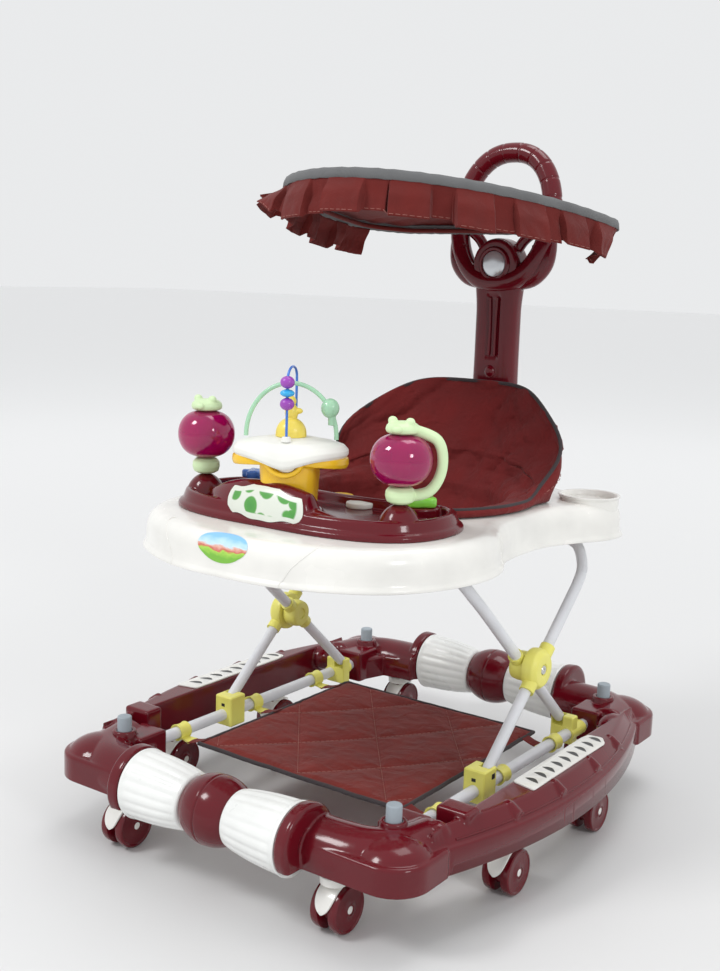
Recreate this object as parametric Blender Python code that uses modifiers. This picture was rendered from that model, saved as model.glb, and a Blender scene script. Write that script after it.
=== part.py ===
"""Baby walker: bumper base on eight casters, scissor frame, play tray, seat, push handle and canopy.

Metres, +X to the walker's own left as seen from the front, +Y to the back, +Z up.
The origin is on the floor under the middle of the base.
"""

import math

import bmesh
import bpy
import numpy as np
from mathutils import Matrix, Vector

# Driving dimensions -----------------------------------------------------------
GAP = 0.0003

BASE_BOTTOM = 0.075
LEDGE_Z = 0.107
RAIL_INNER_X = 0.257
RAIL_END_X = 0.270
RAIL_BULGE = 0.050
RAIL_HALF_LENGTH = 0.266
RAIL_TOP_Z = 0.1255
RAIL_SLOPE_WIDTH = 0.022
RAIL_TOP_LEAST = 0.004
BOSS_TOP = 0.1245
WALL = 0.003
CAP_CENTRE = (0.231, 0.297)
CAP_RADIUS = 0.046
SKIRT_START_X = 0.1315
SLEEVE_RADIUS = 0.036
ROLLER_Y = 0.328
ROLLER_Z = 0.099
FLANGE_X = (0.1225, 0.139)
FLANGE_RADIUS = 0.0455
BARREL_X = (0.0330, 0.1218)
BARREL_RADII = (0.0325, 0.0405, 0.043)
CORE_RADIUS = 0.009
BALL_RADIUS = 0.0425
STOPPER_AT = (0.2125, 0.272)
STOPPER_RADIUS = 0.0095
STOPPER_Z = (0.080, 0.1485)

WHEEL_RADIUS = 0.0285
WHEEL_INNER = 0.0072
WHEEL_OUTER = 0.0185
AXLE_RADIUS = 0.003
CASTER_TRAIL = 0.010
CASTER_TOP = 0.0695
CASTERS = {
    "front_left": (-0.167, -0.311),
    "front_right": (0.167, -0.311),
    "rear_left": (-0.167, 0.311),
    "rear_right": (0.167, 0.311),
    "left_front": (-0.271, -0.112),
    "right_front": (0.271, -0.112),
    "left_rear": (-0.271, 0.112),
    "right_rear": (0.271, 0.112),
}

TUBE_RADIUS = 0.008
TUBE_X = 0.207
TUBE_Z = 0.100
TUBE_Y = (-0.2295, 0.2295)
SOCKET_X = (0.187, 0.2315)
SOCKET_Y = (0.2195, 0.2683)
SOCKET_TOP = 0.1205
BLOCK_X = (0.230, 0.273)
BLOCK_Y = (-0.214, -0.185)
BLOCK_TOP = 0.132

LEG_RADIUS = 0.0075
LEG_A_X = 0.1915
LEG_B_X = 0.2115
PIVOT_Z = 0.122
HUB_Y = 0.055
HUB_Z = 0.224
FOOT_REACH = 0.117
CROSSBAR_REACH = 0.148
CROSSBAR_Z = 0.372
REAR_FOOT_Y = HUB_Y + FOOT_REACH
SLIDER_PIVOT_Y = HUB_Y - FOOT_REACH
HUB_DRUM_RADIUS = 0.0275
HUB_INNER_RADIUS = 0.020

TRAY_LIP_Z = 0.380
TRAY_TOP_Z = 0.428
TRAY_WALL = 0.003
CUP_AT = (0.200, 0.207)
CUP_RADIUS = 0.0405
CUP_RIM_Z = 0.433
CUP_FLOOR_Z = 0.388

COLUMN_Y = 0.282
COLUMN_WIDTH = 0.063
COLUMN_DEPTH = 0.034
COLUMN_Z = (0.384, 0.70)
RING_CENTRE = (0.0, 0.288, 0.814)
RING_SEMI = (0.0755, 0.0965)
RING_TUBE_RADIUS = 0.0145
RING_LEAN = 0.18
HUB_DISC_Z = 0.746

CANOPY_HALF_WIDTH = 0.211
CANOPY_FRONT = 0.331
CANOPY_REAR = 0.087
CANOPY_Y = 0.199
CANOPY_CUT_Y = 0.262
CANOPY_PIVOT = (0.284, 0.797)
CANOPY_AXLE_X = 0.104
CANOPY_SLOPE = 0.127
VALANCE_DROP = 0.052
VALANCE_FLARE = 0.012

TOY_X = 0.150
TOY_Y = -0.190
TOY_DOME_HEIGHT = 0.039
DECK_HEIGHT = 0.0225
TOWER_Y = -0.205
TOWER_TURN = 27.5
TOWER_FOOT = 0.016
HOUSE_HALF = (0.0315, 0.0350)
HOUSE_HEIGHT = 0.062
EAVES_REACH = 0.070
ICING_REACH = 0.072
ARCH_HALF = 0.0550
ARCH_FOOT_Z = 0.5310
ARCH_HEIGHT = 0.0640
KNOB_DOME = 0.0235
CLICKER_AT = (0.126, -0.110)
SPINNER_AT = (-0.132, -0.110)

SEGMENTS = 20
WHEEL_STEPS = 14
TRAY_POINTS = 48
CANOPY_POINTS = 32
SEAT_POINTS = 28
LOOP_RADIUS = 0.028
LOOP_STRAIGHT_TOP = 0.600
LOOP_ARCH = 0.0145
BEAD_PITCH = 0.0128
OPENING_HALF = (0.148, 0.138)
OPENING_Y = 0.052
MAT_Z = 0.096
MAT_THICKNESS = 0.004
FOOT_TOP_Z = 0.131
CORE_HALF = 0.135
BALL_LONG = 0.0475

# Materials ------------------------------------------------------------------------
COLOURS = {
    "maroon_plastic": ((0.21, 0.008, 0.018), 0.18),
    "maroon_fabric": ((0.30, 0.032, 0.034), 0.85),
    "white_plastic": ((0.86, 0.85, 0.82), 0.25),
    "grey_tube": ((0.74, 0.75, 0.77), 0.30),
    "grey_rubber": ((0.36, 0.41, 0.45), 0.45),
    "lemon_plastic": ((0.86, 0.80, 0.20), 0.35),
    "magenta_plastic": ((0.50, 0.01, 0.19), 0.10),
    "mint_plastic": ((0.62, 0.84, 0.50), 0.35),
    "yellow_plastic": ((0.95, 0.62, 0.04), 0.30),
    "clear_green_plastic": ((0.45, 0.86, 0.60), 0.15),
    "blue_plastic": ((0.08, 0.22, 0.70), 0.30),
    "purple_plastic": ((0.30, 0.05, 0.45), 0.25),
    "lime_plastic": ((0.35, 0.78, 0.05), 0.30),
    "red_plastic": ((0.75, 0.03, 0.02), 0.30),
    "silver_plastic": ((0.70, 0.72, 0.75), 0.20),
}


def material(name):
    found = bpy.data.materials.get(name)
    if found:
        return found
    colour, roughness = COLOURS[name]
    made = bpy.data.materials.new(name)
    made.use_nodes = True
    shader = made.node_tree.nodes["Principled BSDF"]
    shader.inputs["Base Color"].default_value = (*colour, 1.0)
    shader.inputs["Roughness"].default_value = roughness
    shader.inputs["Metallic"].default_value = 1.0 if name == "silver_plastic" else 0.0
    return made


# Scene helpers ----------------------------------------------------------------------
for old in list(bpy.data.objects):
    bpy.data.objects.remove(old, do_unlink=True)

PARTS = bpy.data.collections.new("baby_walker")
CUTTERS = bpy.data.collections.new("cutters")
for group in (PARTS, CUTTERS):
    bpy.context.scene.collection.children.link(group)


def add_object(name, data, finish=None):
    thing = bpy.data.objects.new(name, data)
    PARTS.objects.link(thing)
    if finish:
        data.materials.append(material(finish))
    return thing


def mesh_object(name, shape, finish=None, smooth=True):
    """An object from a bmesh, with its normals facing out."""
    bmesh.ops.recalc_face_normals(shape, faces=shape.faces)
    data = bpy.data.meshes.new(name)
    shape.to_mesh(data)
    shape.free()
    if smooth:
        data.shade_smooth()
        data.set_sharp_from_angle(angle=math.radians(35))
    return add_object(name, data, finish)


def hide_as_cutter(thing):
    for group in list(thing.users_collection):
        group.objects.unlink(thing)
    CUTTERS.objects.link(thing)
    thing.hide_render = True
    thing.display_type = "WIRE"


def combine(target, tool, operation):
    """Boolean with an object that then belongs to the cutters."""
    change = target.modifiers.new(operation.lower(), "BOOLEAN")
    change.operation = operation
    change.object = tool
    change.solver = "EXACT"
    hide_as_cutter(tool)


def cut(target, *tools):
    for tool in tools:
        combine(target, tool, "DIFFERENCE")


def join(target, *tools):
    for tool in tools:
        combine(target, tool, "UNION")


def set_origin(thing, point):
    """Move the object's origin to a world point and leave its shape where it is."""
    thing.data.transform(Matrix.Translation(-Vector(point)))
    thing.location = point


def box(name, low, high, finish=None, bevel=0.0):
    shape = bmesh.new()
    bmesh.ops.create_cube(shape, size=1.0)
    size = Vector(high) - Vector(low)
    middle = (Vector(high) + Vector(low)) / 2
    bmesh.ops.transform(shape, matrix=Matrix.Diagonal((*size, 1.0)), verts=shape.verts)
    bmesh.ops.translate(shape, vec=middle, verts=shape.verts)
    if bevel:
        bmesh.ops.bevel(shape, geom=shape.edges[:], offset=bevel, segments=1, affect="EDGES", profile=0.5)
    return mesh_object(name, shape, finish)


AXES = {"X": Matrix.Rotation(math.pi / 2, 4, "Y"), "Y": Matrix.Rotation(-math.pi / 2, 4, "X"), "Z": Matrix()}


def cylinder(name, centre, radius, depth, axis="Z", finish=None, top_radius=None, segments=SEGMENTS):
    shape = bmesh.new()
    end = radius if top_radius is None else top_radius
    bmesh.ops.create_cone(
        shape, cap_ends=True, segments=segments, radius1=radius, radius2=end, depth=depth
    )
    bmesh.ops.transform(shape, matrix=Matrix.Translation(centre) @ AXES[axis], verts=shape.verts)
    return mesh_object(name, shape, finish)


def ball(name, centre, radii, finish=None, segments=SEGMENTS):
    shape = bmesh.new()
    bmesh.ops.create_uvsphere(shape, u_segments=segments, v_segments=segments // 2, radius=1.0)
    bmesh.ops.transform(shape, matrix=Matrix.Translation(centre) @ Matrix.Diagonal((*radii, 1.0)), verts=shape.verts)
    return mesh_object(name, shape, finish)


def turned(name, profile, centre, axis="Z", finish=None, steps=SEGMENTS, closed=False):
    """A profile of (radius, height) points, outer side first from the top down, turned about an axis."""
    shape = bmesh.new()
    points = [shape.verts.new((radius, 0.0, height)) for radius, height in profile]
    for first, second in zip(points, points[1:]):
        shape.edges.new((first, second))
    if closed:
        shape.edges.new((points[-1], points[0]))
    data = bpy.data.meshes.new(name)
    shape.to_mesh(data)
    shape.free()
    thing = add_object(name, data, finish)
    screw = thing.modifiers.new("turn", "SCREW")
    screw.steps = steps
    screw.render_steps = steps
    screw.use_merge_vertices = True
    screw.merge_threshold = 0.00005
    screw.use_smooth_shade = True
    thing.matrix_world = Matrix.Translation(centre) @ AXES[axis]
    return thing


def evaluated_mesh(thing):
    bpy.context.view_layer.update()
    graph = bpy.context.evaluated_depsgraph_get()
    return bpy.data.meshes.new_from_object(thing.evaluated_get(graph))


def solid_from_curve(thing, finish):
    """Turn a curve into a welded mesh object of the same name."""
    name = thing.name
    data = evaluated_mesh(thing)
    place = thing.matrix_world.copy()
    bpy.data.objects.remove(thing, do_unlink=True)
    shape = bmesh.new()
    shape.from_mesh(data)
    bmesh.ops.remove_doubles(shape, verts=shape.verts, dist=0.00001)
    bmesh.ops.transform(shape, matrix=place, verts=shape.verts)
    return mesh_object(name, shape, finish)


def spline_points(points, count, closed=False):
    """Points along a Catmull-Rom curve through the given ones."""
    given = [Vector(p) for p in points]
    last = len(given) if closed else len(given) - 1
    made = []
    for step in range(count if closed else count + 1):
        place = step * last / count
        index = min(int(place), last - 1)
        t = place - index
        if closed:
            a, b, c, d = (given[(index + k) % len(given)] for k in (-1, 0, 1, 2))
        else:
            a, b, c, d = (given[min(max(index + k, 0), len(given) - 1)] for k in (-1, 0, 1, 2))
        made.append(0.5 * (2 * b + (c - a) * t + (2 * a - 5 * b + 4 * c - d) * t**2 + (3 * b - a - 3 * c + d) * t**3))
    return made


def tube(name, points, radius, finish=None, resolution=2, closed=False):
    data = bpy.data.curves.new(name, "CURVE")
    data.dimensions = "3D"
    data.bevel_depth = radius
    data.bevel_resolution = resolution
    data.use_fill_caps = not closed
    line = data.splines.new("POLY")
    line.points.add(len(points) - 1)
    for slot, point in zip(line.points, points):
        slot.co = (*point, 1.0)
    line.use_cyclic_u = closed
    return solid_from_curve(add_object(name, data), finish)


def plate(name, outline, low, high, finish=None, bevel=0.0):
    """A flat outline in X and Y, extruded from one height to another."""
    data = bpy.data.curves.new(name, "CURVE")
    data.dimensions = "2D"
    data.fill_mode = "BOTH"
    data.extrude = (high - low) / 2
    line = data.splines.new("POLY")
    line.points.add(len(outline) - 1)
    for slot, point in zip(line.points, outline):
        slot.co = (point[0], point[1], 0.0, 1.0)
    line.use_cyclic_u = True
    thing = add_object(name, data)
    thing.location.z = (high + low) / 2
    bpy.context.view_layer.update()
    solid = solid_from_curve(thing, finish)
    if bevel:
        rounding = solid.modifiers.new("edges", "BEVEL")
        rounding.width = bevel
        rounding.segments = 1
        rounding.limit_method = "ANGLE"
        rounding.angle_limit = math.radians(50)
    return solid


def arc(centre, radius, start, end, steps):
    angles = np.radians(np.linspace(start, end, steps + 1))
    return [(centre[0] + radius * math.cos(a), centre[1] + radius * math.sin(a)) for a in angles]


def loft(name, rings, finish, closed_ring=True, thickness=None, cap=True, offset=-1.0):
    """Skin a list of rings that have equal counts of points."""
    shape = bmesh.new()
    rows = [[shape.verts.new(p) for p in ring] for ring in rings]
    count = len(rows[0])
    for lower, upper in zip(rows, rows[1:]):
        for i in range(count if closed_ring else count - 1):
            j = (i + 1) % count
            shape.faces.new((lower[i], lower[j], upper[j], upper[i]))
    if cap:
        shape.faces.new(rows[0])
        shape.faces.new(rows[-1])
    thing = mesh_object(name, shape, finish)
    if thickness:
        skin = thing.modifiers.new("wall", "SOLIDIFY")
        skin.thickness = thickness
        skin.offset = offset
        skin.use_even_offset = True
    return thing


# Base --------------------------------------------------------------------------------
def rail_loop(outer_inset, inner_inset, z):
    """One ring round a side rail: straight inside, bowed outside."""
    half = RAIL_HALF_LENGTH
    inner = RAIL_INNER_X + inner_inset
    ring = [(inner, -half, z)]
    for y in np.linspace(-half, half, 11):
        outer = RAIL_END_X + RAIL_BULGE * (1 - (y / half) ** 2) - outer_inset
        ring.append((max(outer, inner + RAIL_TOP_LEAST), y, z))
    return ring + [(inner, half, z)]


def cap_outline(inset):
    """Plan of a corner cap's skirt, in the quarter where X and Y are positive."""
    cx, cy = CAP_CENTRE
    corner = arc(CAP_CENTRE, CAP_RADIUS - inset, 90, 0, 5)
    start = (SKIRT_START_X + inset, cy + CAP_RADIUS - inset)
    inner = [
        (cx + CAP_RADIUS - inset, 0.2575 + inset),
        (cx + CAP_RADIUS - 0.010 - inset, 0.240 + inset),
        (0.186 + inset, 0.240 + inset),
        (0.176 + inset, 0.272 + inset),
        (SKIRT_START_X + inset, 0.279 + inset),
    ]
    return [start, *corner, *inner]


def side_form(name, side, inset, low):
    """The outer form of one side moulding, or the same form inset for its hollow."""
    rings = [
        rail_loop(inset, inset, low), rail_loop(inset, inset, LEDGE_Z - inset),
        rail_loop(inset + 0.004, inset, LEDGE_Z + 0.002 - inset),
        rail_loop(inset + RAIL_SLOPE_WIDTH, inset, RAIL_TOP_Z - inset),
    ]
    form = loft(name, [[(side * x, y, z) for x, y, z in ring] for ring in rings], None)
    for end in (-1, 1):
        tag = f"{name}_{'front' if end < 0 else 'rear'}"
        skirt = plate(f"{tag}_skirt", [(side * x, end * y) for x, y in cap_outline(inset)], low, LEDGE_Z - inset)
        route = [(0.1265, 0.3095), (0.165, 0.309), (0.200, 0.303), (0.2265, 0.283), (0.236, 0.256), (0.240, 0.236)]
        bend = spline_points([(side * x, end * y, 0.0905) for x, y in route], 9)
        elbow = tube(f"{tag}_elbow", bend, SLEEVE_RADIUS - inset, resolution=1 if inset else 2)
        flange = cylinder(
            f"{tag}_flange", (side * sum(FLANGE_X) / 2, end * ROLLER_Y, ROLLER_Z),
            FLANGE_RADIUS - inset, FLANGE_X[1] - FLANGE_X[0] - 2 * inset, "X",
        )
        join(form, skirt, elbow, flange)
        near, far = sorted(side * x for x in (SOCKET_X[0] + inset, SOCKET_X[1] - inset))
        first, last = sorted(end * y for y in (SOCKET_Y[0] + inset, SOCKET_Y[1] - inset))
        join(form, box(f"{tag}_socket", (near, first, low), (far, last, SOCKET_TOP - inset)))
    near, far = sorted(side * x for x in (BLOCK_X[0] + inset, BLOCK_X[1] - inset))
    join(form, box(f"{name}_block", (near, BLOCK_Y[0] + inset, low), (far, BLOCK_Y[1] - inset, BLOCK_TOP - inset)))
    return form


def side_moulding(name, side):
    """One long bumper moulding, open underneath, with bosses for its casters."""
    body = side_form(name, side, 0.0, BASE_BOTTOM - 0.03)
    body.data.materials.append(material("maroon_plastic"))
    hollow = side_form(f"{name}_hollow", side, WALL, BASE_BOTTOM - 0.04)
    below = box(f"{name}_below", (-0.5, -0.5, 0.0), (0.5, 0.5, BASE_BOTTOM))
    cut(body, below, hollow)
    for place, (x, y) in CASTERS.items():
        if x * side < 0:
            continue
        stem_y = y - CASTER_TRAIL
        boss = cylinder(f"{name}_{place}_boss", (x, stem_y, (BOSS_TOP + 0.0765) / 2), 0.0090,
                        BOSS_TOP - 0.0765, segments=12)
        join(body, boss)
        cut(body, cylinder(f"{name}_{place}_bore", (x, stem_y, 0.08), 0.0054, 0.046, segments=12))
    for end in (-1, 1):
        x, y = side * STOPPER_AT[0], end * STOPPER_AT[1]
        collar = cylinder(f"{name}_collar_{end}", (x, y, 0.118), 0.0145, 0.0225, segments=16)
        join(body, collar)
        cut(body, cylinder(f"{name}_stopper_bore_{end}", (x, y, 0.10), STOPPER_RADIUS + GAP, 0.08))
    cut(
        body,
        cylinder(f"{name}_tube_bore", (side * TUBE_X, sum(TUBE_Y) / 2, TUBE_Z), TUBE_RADIUS + GAP,
                 TUBE_Y[1] - TUBE_Y[0] + 2 * GAP, "Y"),
        cylinder(f"{name}_front_core_bore", (0, -ROLLER_Y, ROLLER_Z), CORE_RADIUS + GAP, 2 * (CORE_HALF + GAP), "X"),
        cylinder(f"{name}_rear_core_bore", (0, ROLLER_Y, ROLLER_Z), CORE_RADIUS + GAP, 2 * (CORE_HALF + GAP), "X"),
    )
    return body


def mirrored_copy(thing, name, finish):
    """The evaluated shape of an object, mirrored across X = 0, as an object of its own."""
    data = evaluated_mesh(thing)
    shape = bmesh.new()
    shape.from_mesh(data)
    bmesh.ops.transform(shape, matrix=Matrix.Diagonal((-1, 1, 1, 1)) @ thing.matrix_world, verts=shape.verts)
    return mesh_object(name, shape, finish)


def roller(name, end):
    """Two tapered barrels on one core rod, and the ball that sits between them."""
    near, far = BARREL_X
    small, middle, large = BARREL_RADII
    right = [
        (0.0, CORE_HALF), (CORE_RADIUS, CORE_HALF), (CORE_RADIUS, far), (large, far),
        (middle, (near + far) / 2), (small, near), (CORE_RADIUS, near),
    ]
    left = [(radius, -height) for radius, height in reversed(right)]
    centre = (0, end * ROLLER_Y, ROLLER_Z)
    turned(f"{name}_barrels", right + left, centre, "X", "white_plastic")
    angles = np.radians(np.linspace(43, -43, 6))
    outer = [(BALL_RADIUS * math.cos(a), BALL_LONG * math.sin(a)) for a in angles]
    bore = CORE_RADIUS + GAP
    profile = outer + [(bore, outer[-1][1]), (bore, outer[0][1])]
    turned(f"{name}_ball", profile, centre, "X", "maroon_plastic", closed=True)


def base():
    moulding = side_moulding("right_side_moulding", 1)
    mirrored_copy(moulding, "left_side_moulding", "maroon_plastic")
    for name, end in (("front_roller", -1), ("rear_roller", 1)):
        roller(name, end)
    for name, side in (("left_side_tube", -1), ("right_side_tube", 1)):
        cylinder(
            name, (side * TUBE_X, sum(TUBE_Y) / 2, TUBE_Z), TUBE_RADIUS, TUBE_Y[1] - TUBE_Y[0], "Y", "grey_tube"
        )
    for end, end_name in ((-1, "front"), (1, "rear")):
        for side, side_name in ((-1, "left"), (1, "right")):
            x, y = side * STOPPER_AT[0], end * STOPPER_AT[1]
            middle = sum(STOPPER_Z) / 2
            stopper = cylinder(
                f"{end_name}_{side_name}_stopper", (x, y, middle), STOPPER_RADIUS,
                STOPPER_Z[1] - STOPPER_Z[0], "Z", "grey_rubber",
            )
            set_origin(stopper, (x, y, STOPPER_Z[1]))
    mat = plate("foot_mat", [(-0.165, -0.185), (0.165, -0.185), (0.165, 0.155), (-0.165, 0.155)],
                MAT_Z, MAT_Z + MAT_THICKNESS, "maroon_fabric")
    return mat


# Casters -----------------------------------------------------------------------------
def caster(place, x, y):
    """A twin-wheel caster: a housing that swivels on its stem, and wheels joined by an axle."""
    stem_y = y - CASTER_TRAIL
    name = f"{place}_caster"
    hood = cylinder(f"{name}_housing", (x, y, WHEEL_RADIUS + 0.003), 0.0215, 2 * WHEEL_INNER - 0.0012, "X",
                    "white_plastic", segments=12)
    plate_top = cylinder(f"{name}_plate", (x, stem_y + 0.003, CASTER_TOP - 0.0035), 0.0175, 0.007, segments=12)
    stem = cylinder(f"{name}_stem", (x, stem_y, (CASTER_TOP - 0.004 + 0.098) / 2), 0.0050,
                    0.098 - CASTER_TOP + 0.004, segments=10)
    neck = box(f"{name}_neck", (x - 0.0066, stem_y - 0.008, 0.040), (x + 0.0066, y + 0.010, CASTER_TOP - 0.002))
    join(hood, plate_top, stem, neck)
    cut(hood, cylinder(f"{name}_axle_bore", (x, y, WHEEL_RADIUS), AXLE_RADIUS + GAP + 0.0002, 0.05, "X", segments=10))
    wheel = [
        (0.0, WHEEL_OUTER), (0.019, WHEEL_OUTER), (WHEEL_RADIUS, WHEEL_OUTER - 0.002),
        (WHEEL_RADIUS, WHEEL_INNER + 0.0008), (WHEEL_RADIUS - 0.001, WHEEL_INNER), (AXLE_RADIUS, WHEEL_INNER),
    ]
    wheel += [(radius, -height) for radius, height in reversed(wheel)]
    turned(f"{place}_wheels", wheel, (x, y, WHEEL_RADIUS), "X", "maroon_plastic", steps=WHEEL_STEPS)
    return hood


# Scissor frame -----------------------------------------------------------------------------
def leg_frame(name, x, heading):
    """A U-shaped tube: two straight legs, bent in at the top to meet in a cross-bar."""
    foot = (x, HUB_Y - heading * FOOT_REACH, PIVOT_Z)
    shoulder = (x, HUB_Y + heading * 0.105, HUB_Z + 0.0915)
    bar_y = HUB_Y + heading * CROSSBAR_REACH
    half = [foot, (x, HUB_Y, HUB_Z), shoulder]
    bend = spline_points(
        [shoulder, (x - 0.004, HUB_Y + heading * 0.128, HUB_Z + 0.114),
         (x - 0.022, bar_y - heading * 0.004, CROSSBAR_Z - 0.008), (x - 0.055, bar_y, CROSSBAR_Z)], 6)
    route = half[:2] + bend
    left = [(-px, py, pz) for px, py, pz in route]
    frame = tube(name, route + left[::-1], LEG_RADIUS, "grey_tube", resolution=1)
    for side in (-1, 1):
        join(frame, ball(f"{name}_end_{side}", (side * x, foot[1], PIVOT_Z), (LEG_RADIUS * 1.02,) * 3, segments=8))
    set_origin(frame, (0, foot[1], PIVOT_Z))
    return frame


def leg_bore(name, x, heading, length=0.30):
    """A cutter along one straight leg."""
    angle = math.atan2(HUB_Z - PIVOT_Z, heading * FOOT_REACH)
    shape = cylinder(name, (0, 0, 0), LEG_RADIUS + GAP, length, "Y")
    shape.rotation_euler.x = angle
    shape.location = (x, HUB_Y, HUB_Z)
    return shape


def scissor_frame():
    leg_frame("leg_frame_fixed", LEG_A_X, -1)
    leg_frame("leg_frame_sliding", LEG_B_X, 1)
    for side, tag in ((-1, "left"), (1, "right")):
        outer_x, inner_x = side * (LEG_B_X + 0.001), side * (LEG_A_X - 0.001)
        outer = cylinder(f"{tag}_hub_outer", (outer_x, HUB_Y, HUB_Z), HUB_DRUM_RADIUS, 0.0212, "X", "lemon_plastic")
        cut(outer, leg_bore(f"{tag}_outer_bore", side * LEG_B_X, 1))
        inner = cylinder(f"{tag}_hub_inner", (inner_x, HUB_Y, HUB_Z), HUB_INNER_RADIUS, 0.0212, "X", "lemon_plastic")
        cut(inner, leg_bore(f"{tag}_inner_bore", side * LEG_A_X, -1))
        foot_box(f"{tag}_slider", side, SLIDER_PIVOT_Y, LEG_B_X, (0.1895, 0.2234), (-0.091, -0.0525), 1)
        foot = foot_box(f"{tag}_rear_foot", side, REAR_FOOT_Y, LEG_A_X, (0.1800, 0.2165), (0.1625, 0.1835), -1)
        sleeve = cylinder(f"{tag}_foot_sleeve", (side * TUBE_X, 0.1880, TUBE_Z), 0.0125, 0.052, "Y")
        join(foot, sleeve)
        cut(foot, cylinder(f"{tag}_sleeve_bore", (side * TUBE_X, 0.1880, TUBE_Z), TUBE_RADIUS + GAP, 0.1, "Y"))


def foot_box(name, side, pivot_y, leg_x, spans_x, spans_y, heading):
    """A block on the side tube, with a slot where the leg's end turns on its pin."""
    near, far = sorted(side * x for x in spans_x)
    block = box(name, (near, spans_y[0], 0.0815), (far, spans_y[1], FOOT_TOP_Z), "lemon_plastic", bevel=0.002)
    cut(block, cylinder(f"{name}_bore", (side * TUBE_X, pivot_y, TUBE_Z), TUBE_RADIUS + GAP, 0.1, "Y"))
    reach = 0.0085
    ends = sorted((pivot_y - heading * reach, pivot_y + heading * 0.03))
    slot = box(
        f"{name}_slot", (side * leg_x - reach, ends[0], PIVOT_Z - 0.0095), (side * leg_x + reach, ends[1], 0.16)
    )
    cut(block, slot)
    return block


# Tray ---------------------------------------------------------------------------------------
def tray_outline():
    """Plan of the tray's lip: round front, waist at the sides, cup corners at the back."""
    half = [
        (0.0, -0.330), (0.045, -0.329), (0.090, -0.321), (0.144, -0.297), (0.190, -0.262), (0.223, -0.205),
        (0.237, -0.140), (0.230, -0.085), (0.207, -0.035), (0.200, 0.025), (0.203, 0.085), (0.222, 0.135),
        (0.243, 0.180), (0.246, 0.222), (0.224, 0.250), (0.190, 0.262), (0.140, 0.274), (0.085, 0.296),
        (0.040, 0.306), (0.0, 0.308),
    ]
    loop = half + [(-x, y) for x, y in half[-2:0:-1]]
    return spline_points([(x, y, 0.0) for x, y in loop], TRAY_POINTS, closed=True)


def seat_opening():
    """Plan of the seat opening, with as many points as the tray's outline."""
    points = []
    for i in range(TRAY_POINTS):
        angle = 2 * math.pi * i / TRAY_POINTS - math.pi / 2
        x = OPENING_HALF[0] * abs(math.cos(angle)) ** 0.8 * math.copysign(1, math.cos(angle))
        y = OPENING_Y + OPENING_HALF[1] * abs(math.sin(angle)) ** 0.8 * math.copysign(1, math.sin(angle))
        points.append(Vector((x, y, 0.0)))
    return points


def shrink(points, amount):
    """Move each point of a plan outline inwards along its normal."""
    count = len(points)
    moved = []
    for i, point in enumerate(points):
        along = points[(i + 1) % count] - points[i - 1]
        inward = Vector((-along.y, along.x, 0.0)).normalized()
        moved.append(point + inward * amount)
    return moved


def at_height(points, z):
    return [Vector((p.x, p.y, z)) for p in points]


def tray_shell():
    """The white tray: turned-out lip, round brim, flat top and the rim of the seat opening."""
    lip = tray_outline()
    opening = seat_opening()
    rings = [
        at_height(lip, TRAY_LIP_Z),
        at_height(shrink(lip, 0.004), TRAY_LIP_Z + 0.006),
        at_height(shrink(lip, 0.005), TRAY_LIP_Z + 0.028),
        at_height(shrink(lip, 0.011), TRAY_TOP_Z - 0.007),
        at_height(shrink(lip, 0.022), TRAY_TOP_Z),
        at_height(opening, TRAY_TOP_Z),
        at_height(shrink(opening, 0.003), TRAY_TOP_Z - 0.003),
        at_height(shrink(opening, 0.003), TRAY_LIP_Z + 0.012),
    ]
    shell = loft("tray_shell", rings, "white_plastic", thickness=TRAY_WALL, cap=False)
    for side in (-1, 1):
        x, y = side * CUP_AT[0], CUP_AT[1]
        drum = cylinder(f"cup_drum_{side}", (x, y, (CUP_RIM_Z + CUP_FLOOR_Z - 0.003) / 2), CUP_RADIUS,
                        CUP_RIM_Z - CUP_FLOOR_Z + 0.003)
        well = cylinder(f"cup_well_{side}", (x, y, CUP_FLOOR_Z + 0.05), CUP_RADIUS - 0.005, 0.1)
        join(shell, drum)
        cut(shell, well)
    half = COLUMN_WIDTH / 2 + 0.004
    socket = box("column_socket", (-half, COLUMN_Y - 0.0215, COLUMN_Z[0] - 0.003),
                 (half, COLUMN_Y + 0.0215, TRAY_TOP_Z + 0.002))
    well = box("column_well", (-half + 0.0037, COLUMN_Y - COLUMN_DEPTH / 2 - GAP, COLUMN_Z[0] - GAP),
               (half - 0.0037, COLUMN_Y + COLUMN_DEPTH / 2 + GAP, 0.5))
    join(shell, socket)
    cut(shell, well)
    lug_y, lug_z = HUB_Y + CROSSBAR_REACH, CROSSBAR_Z
    for side in (-1, 1):
        lug = box(f"bearing_{side}", (side * 0.062 - 0.006, lug_y - 0.0095, lug_z - 0.0105),
                  (side * 0.062 + 0.006, lug_y + 0.0105, TRAY_TOP_Z - 0.001))
        join(shell, lug)
    cut(shell, cylinder("bearing_bore", (0, lug_y, lug_z), LEG_RADIUS + 0.0006, 0.2, "X"))
    return shell


def board_outline():
    """Plan of the play board: a nearly straight front, round ends and a dip towards the seat."""
    half = [
        (0.0, -0.2585), (0.060, -0.2585), (0.108, -0.252), (0.150, -0.236), (0.180, -0.207), (0.193, -0.166),
        (0.192, -0.126), (0.178, -0.092), (0.152, -0.074), (0.116, -0.072), (0.070, -0.088),
    ]
    loop = half + [(0.0, -0.095)] + [(-x, y) for x, y in half[:0:-1]]
    return spline_points([(x, y, 0.0) for x, y in loop], 32, closed=True)


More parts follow.
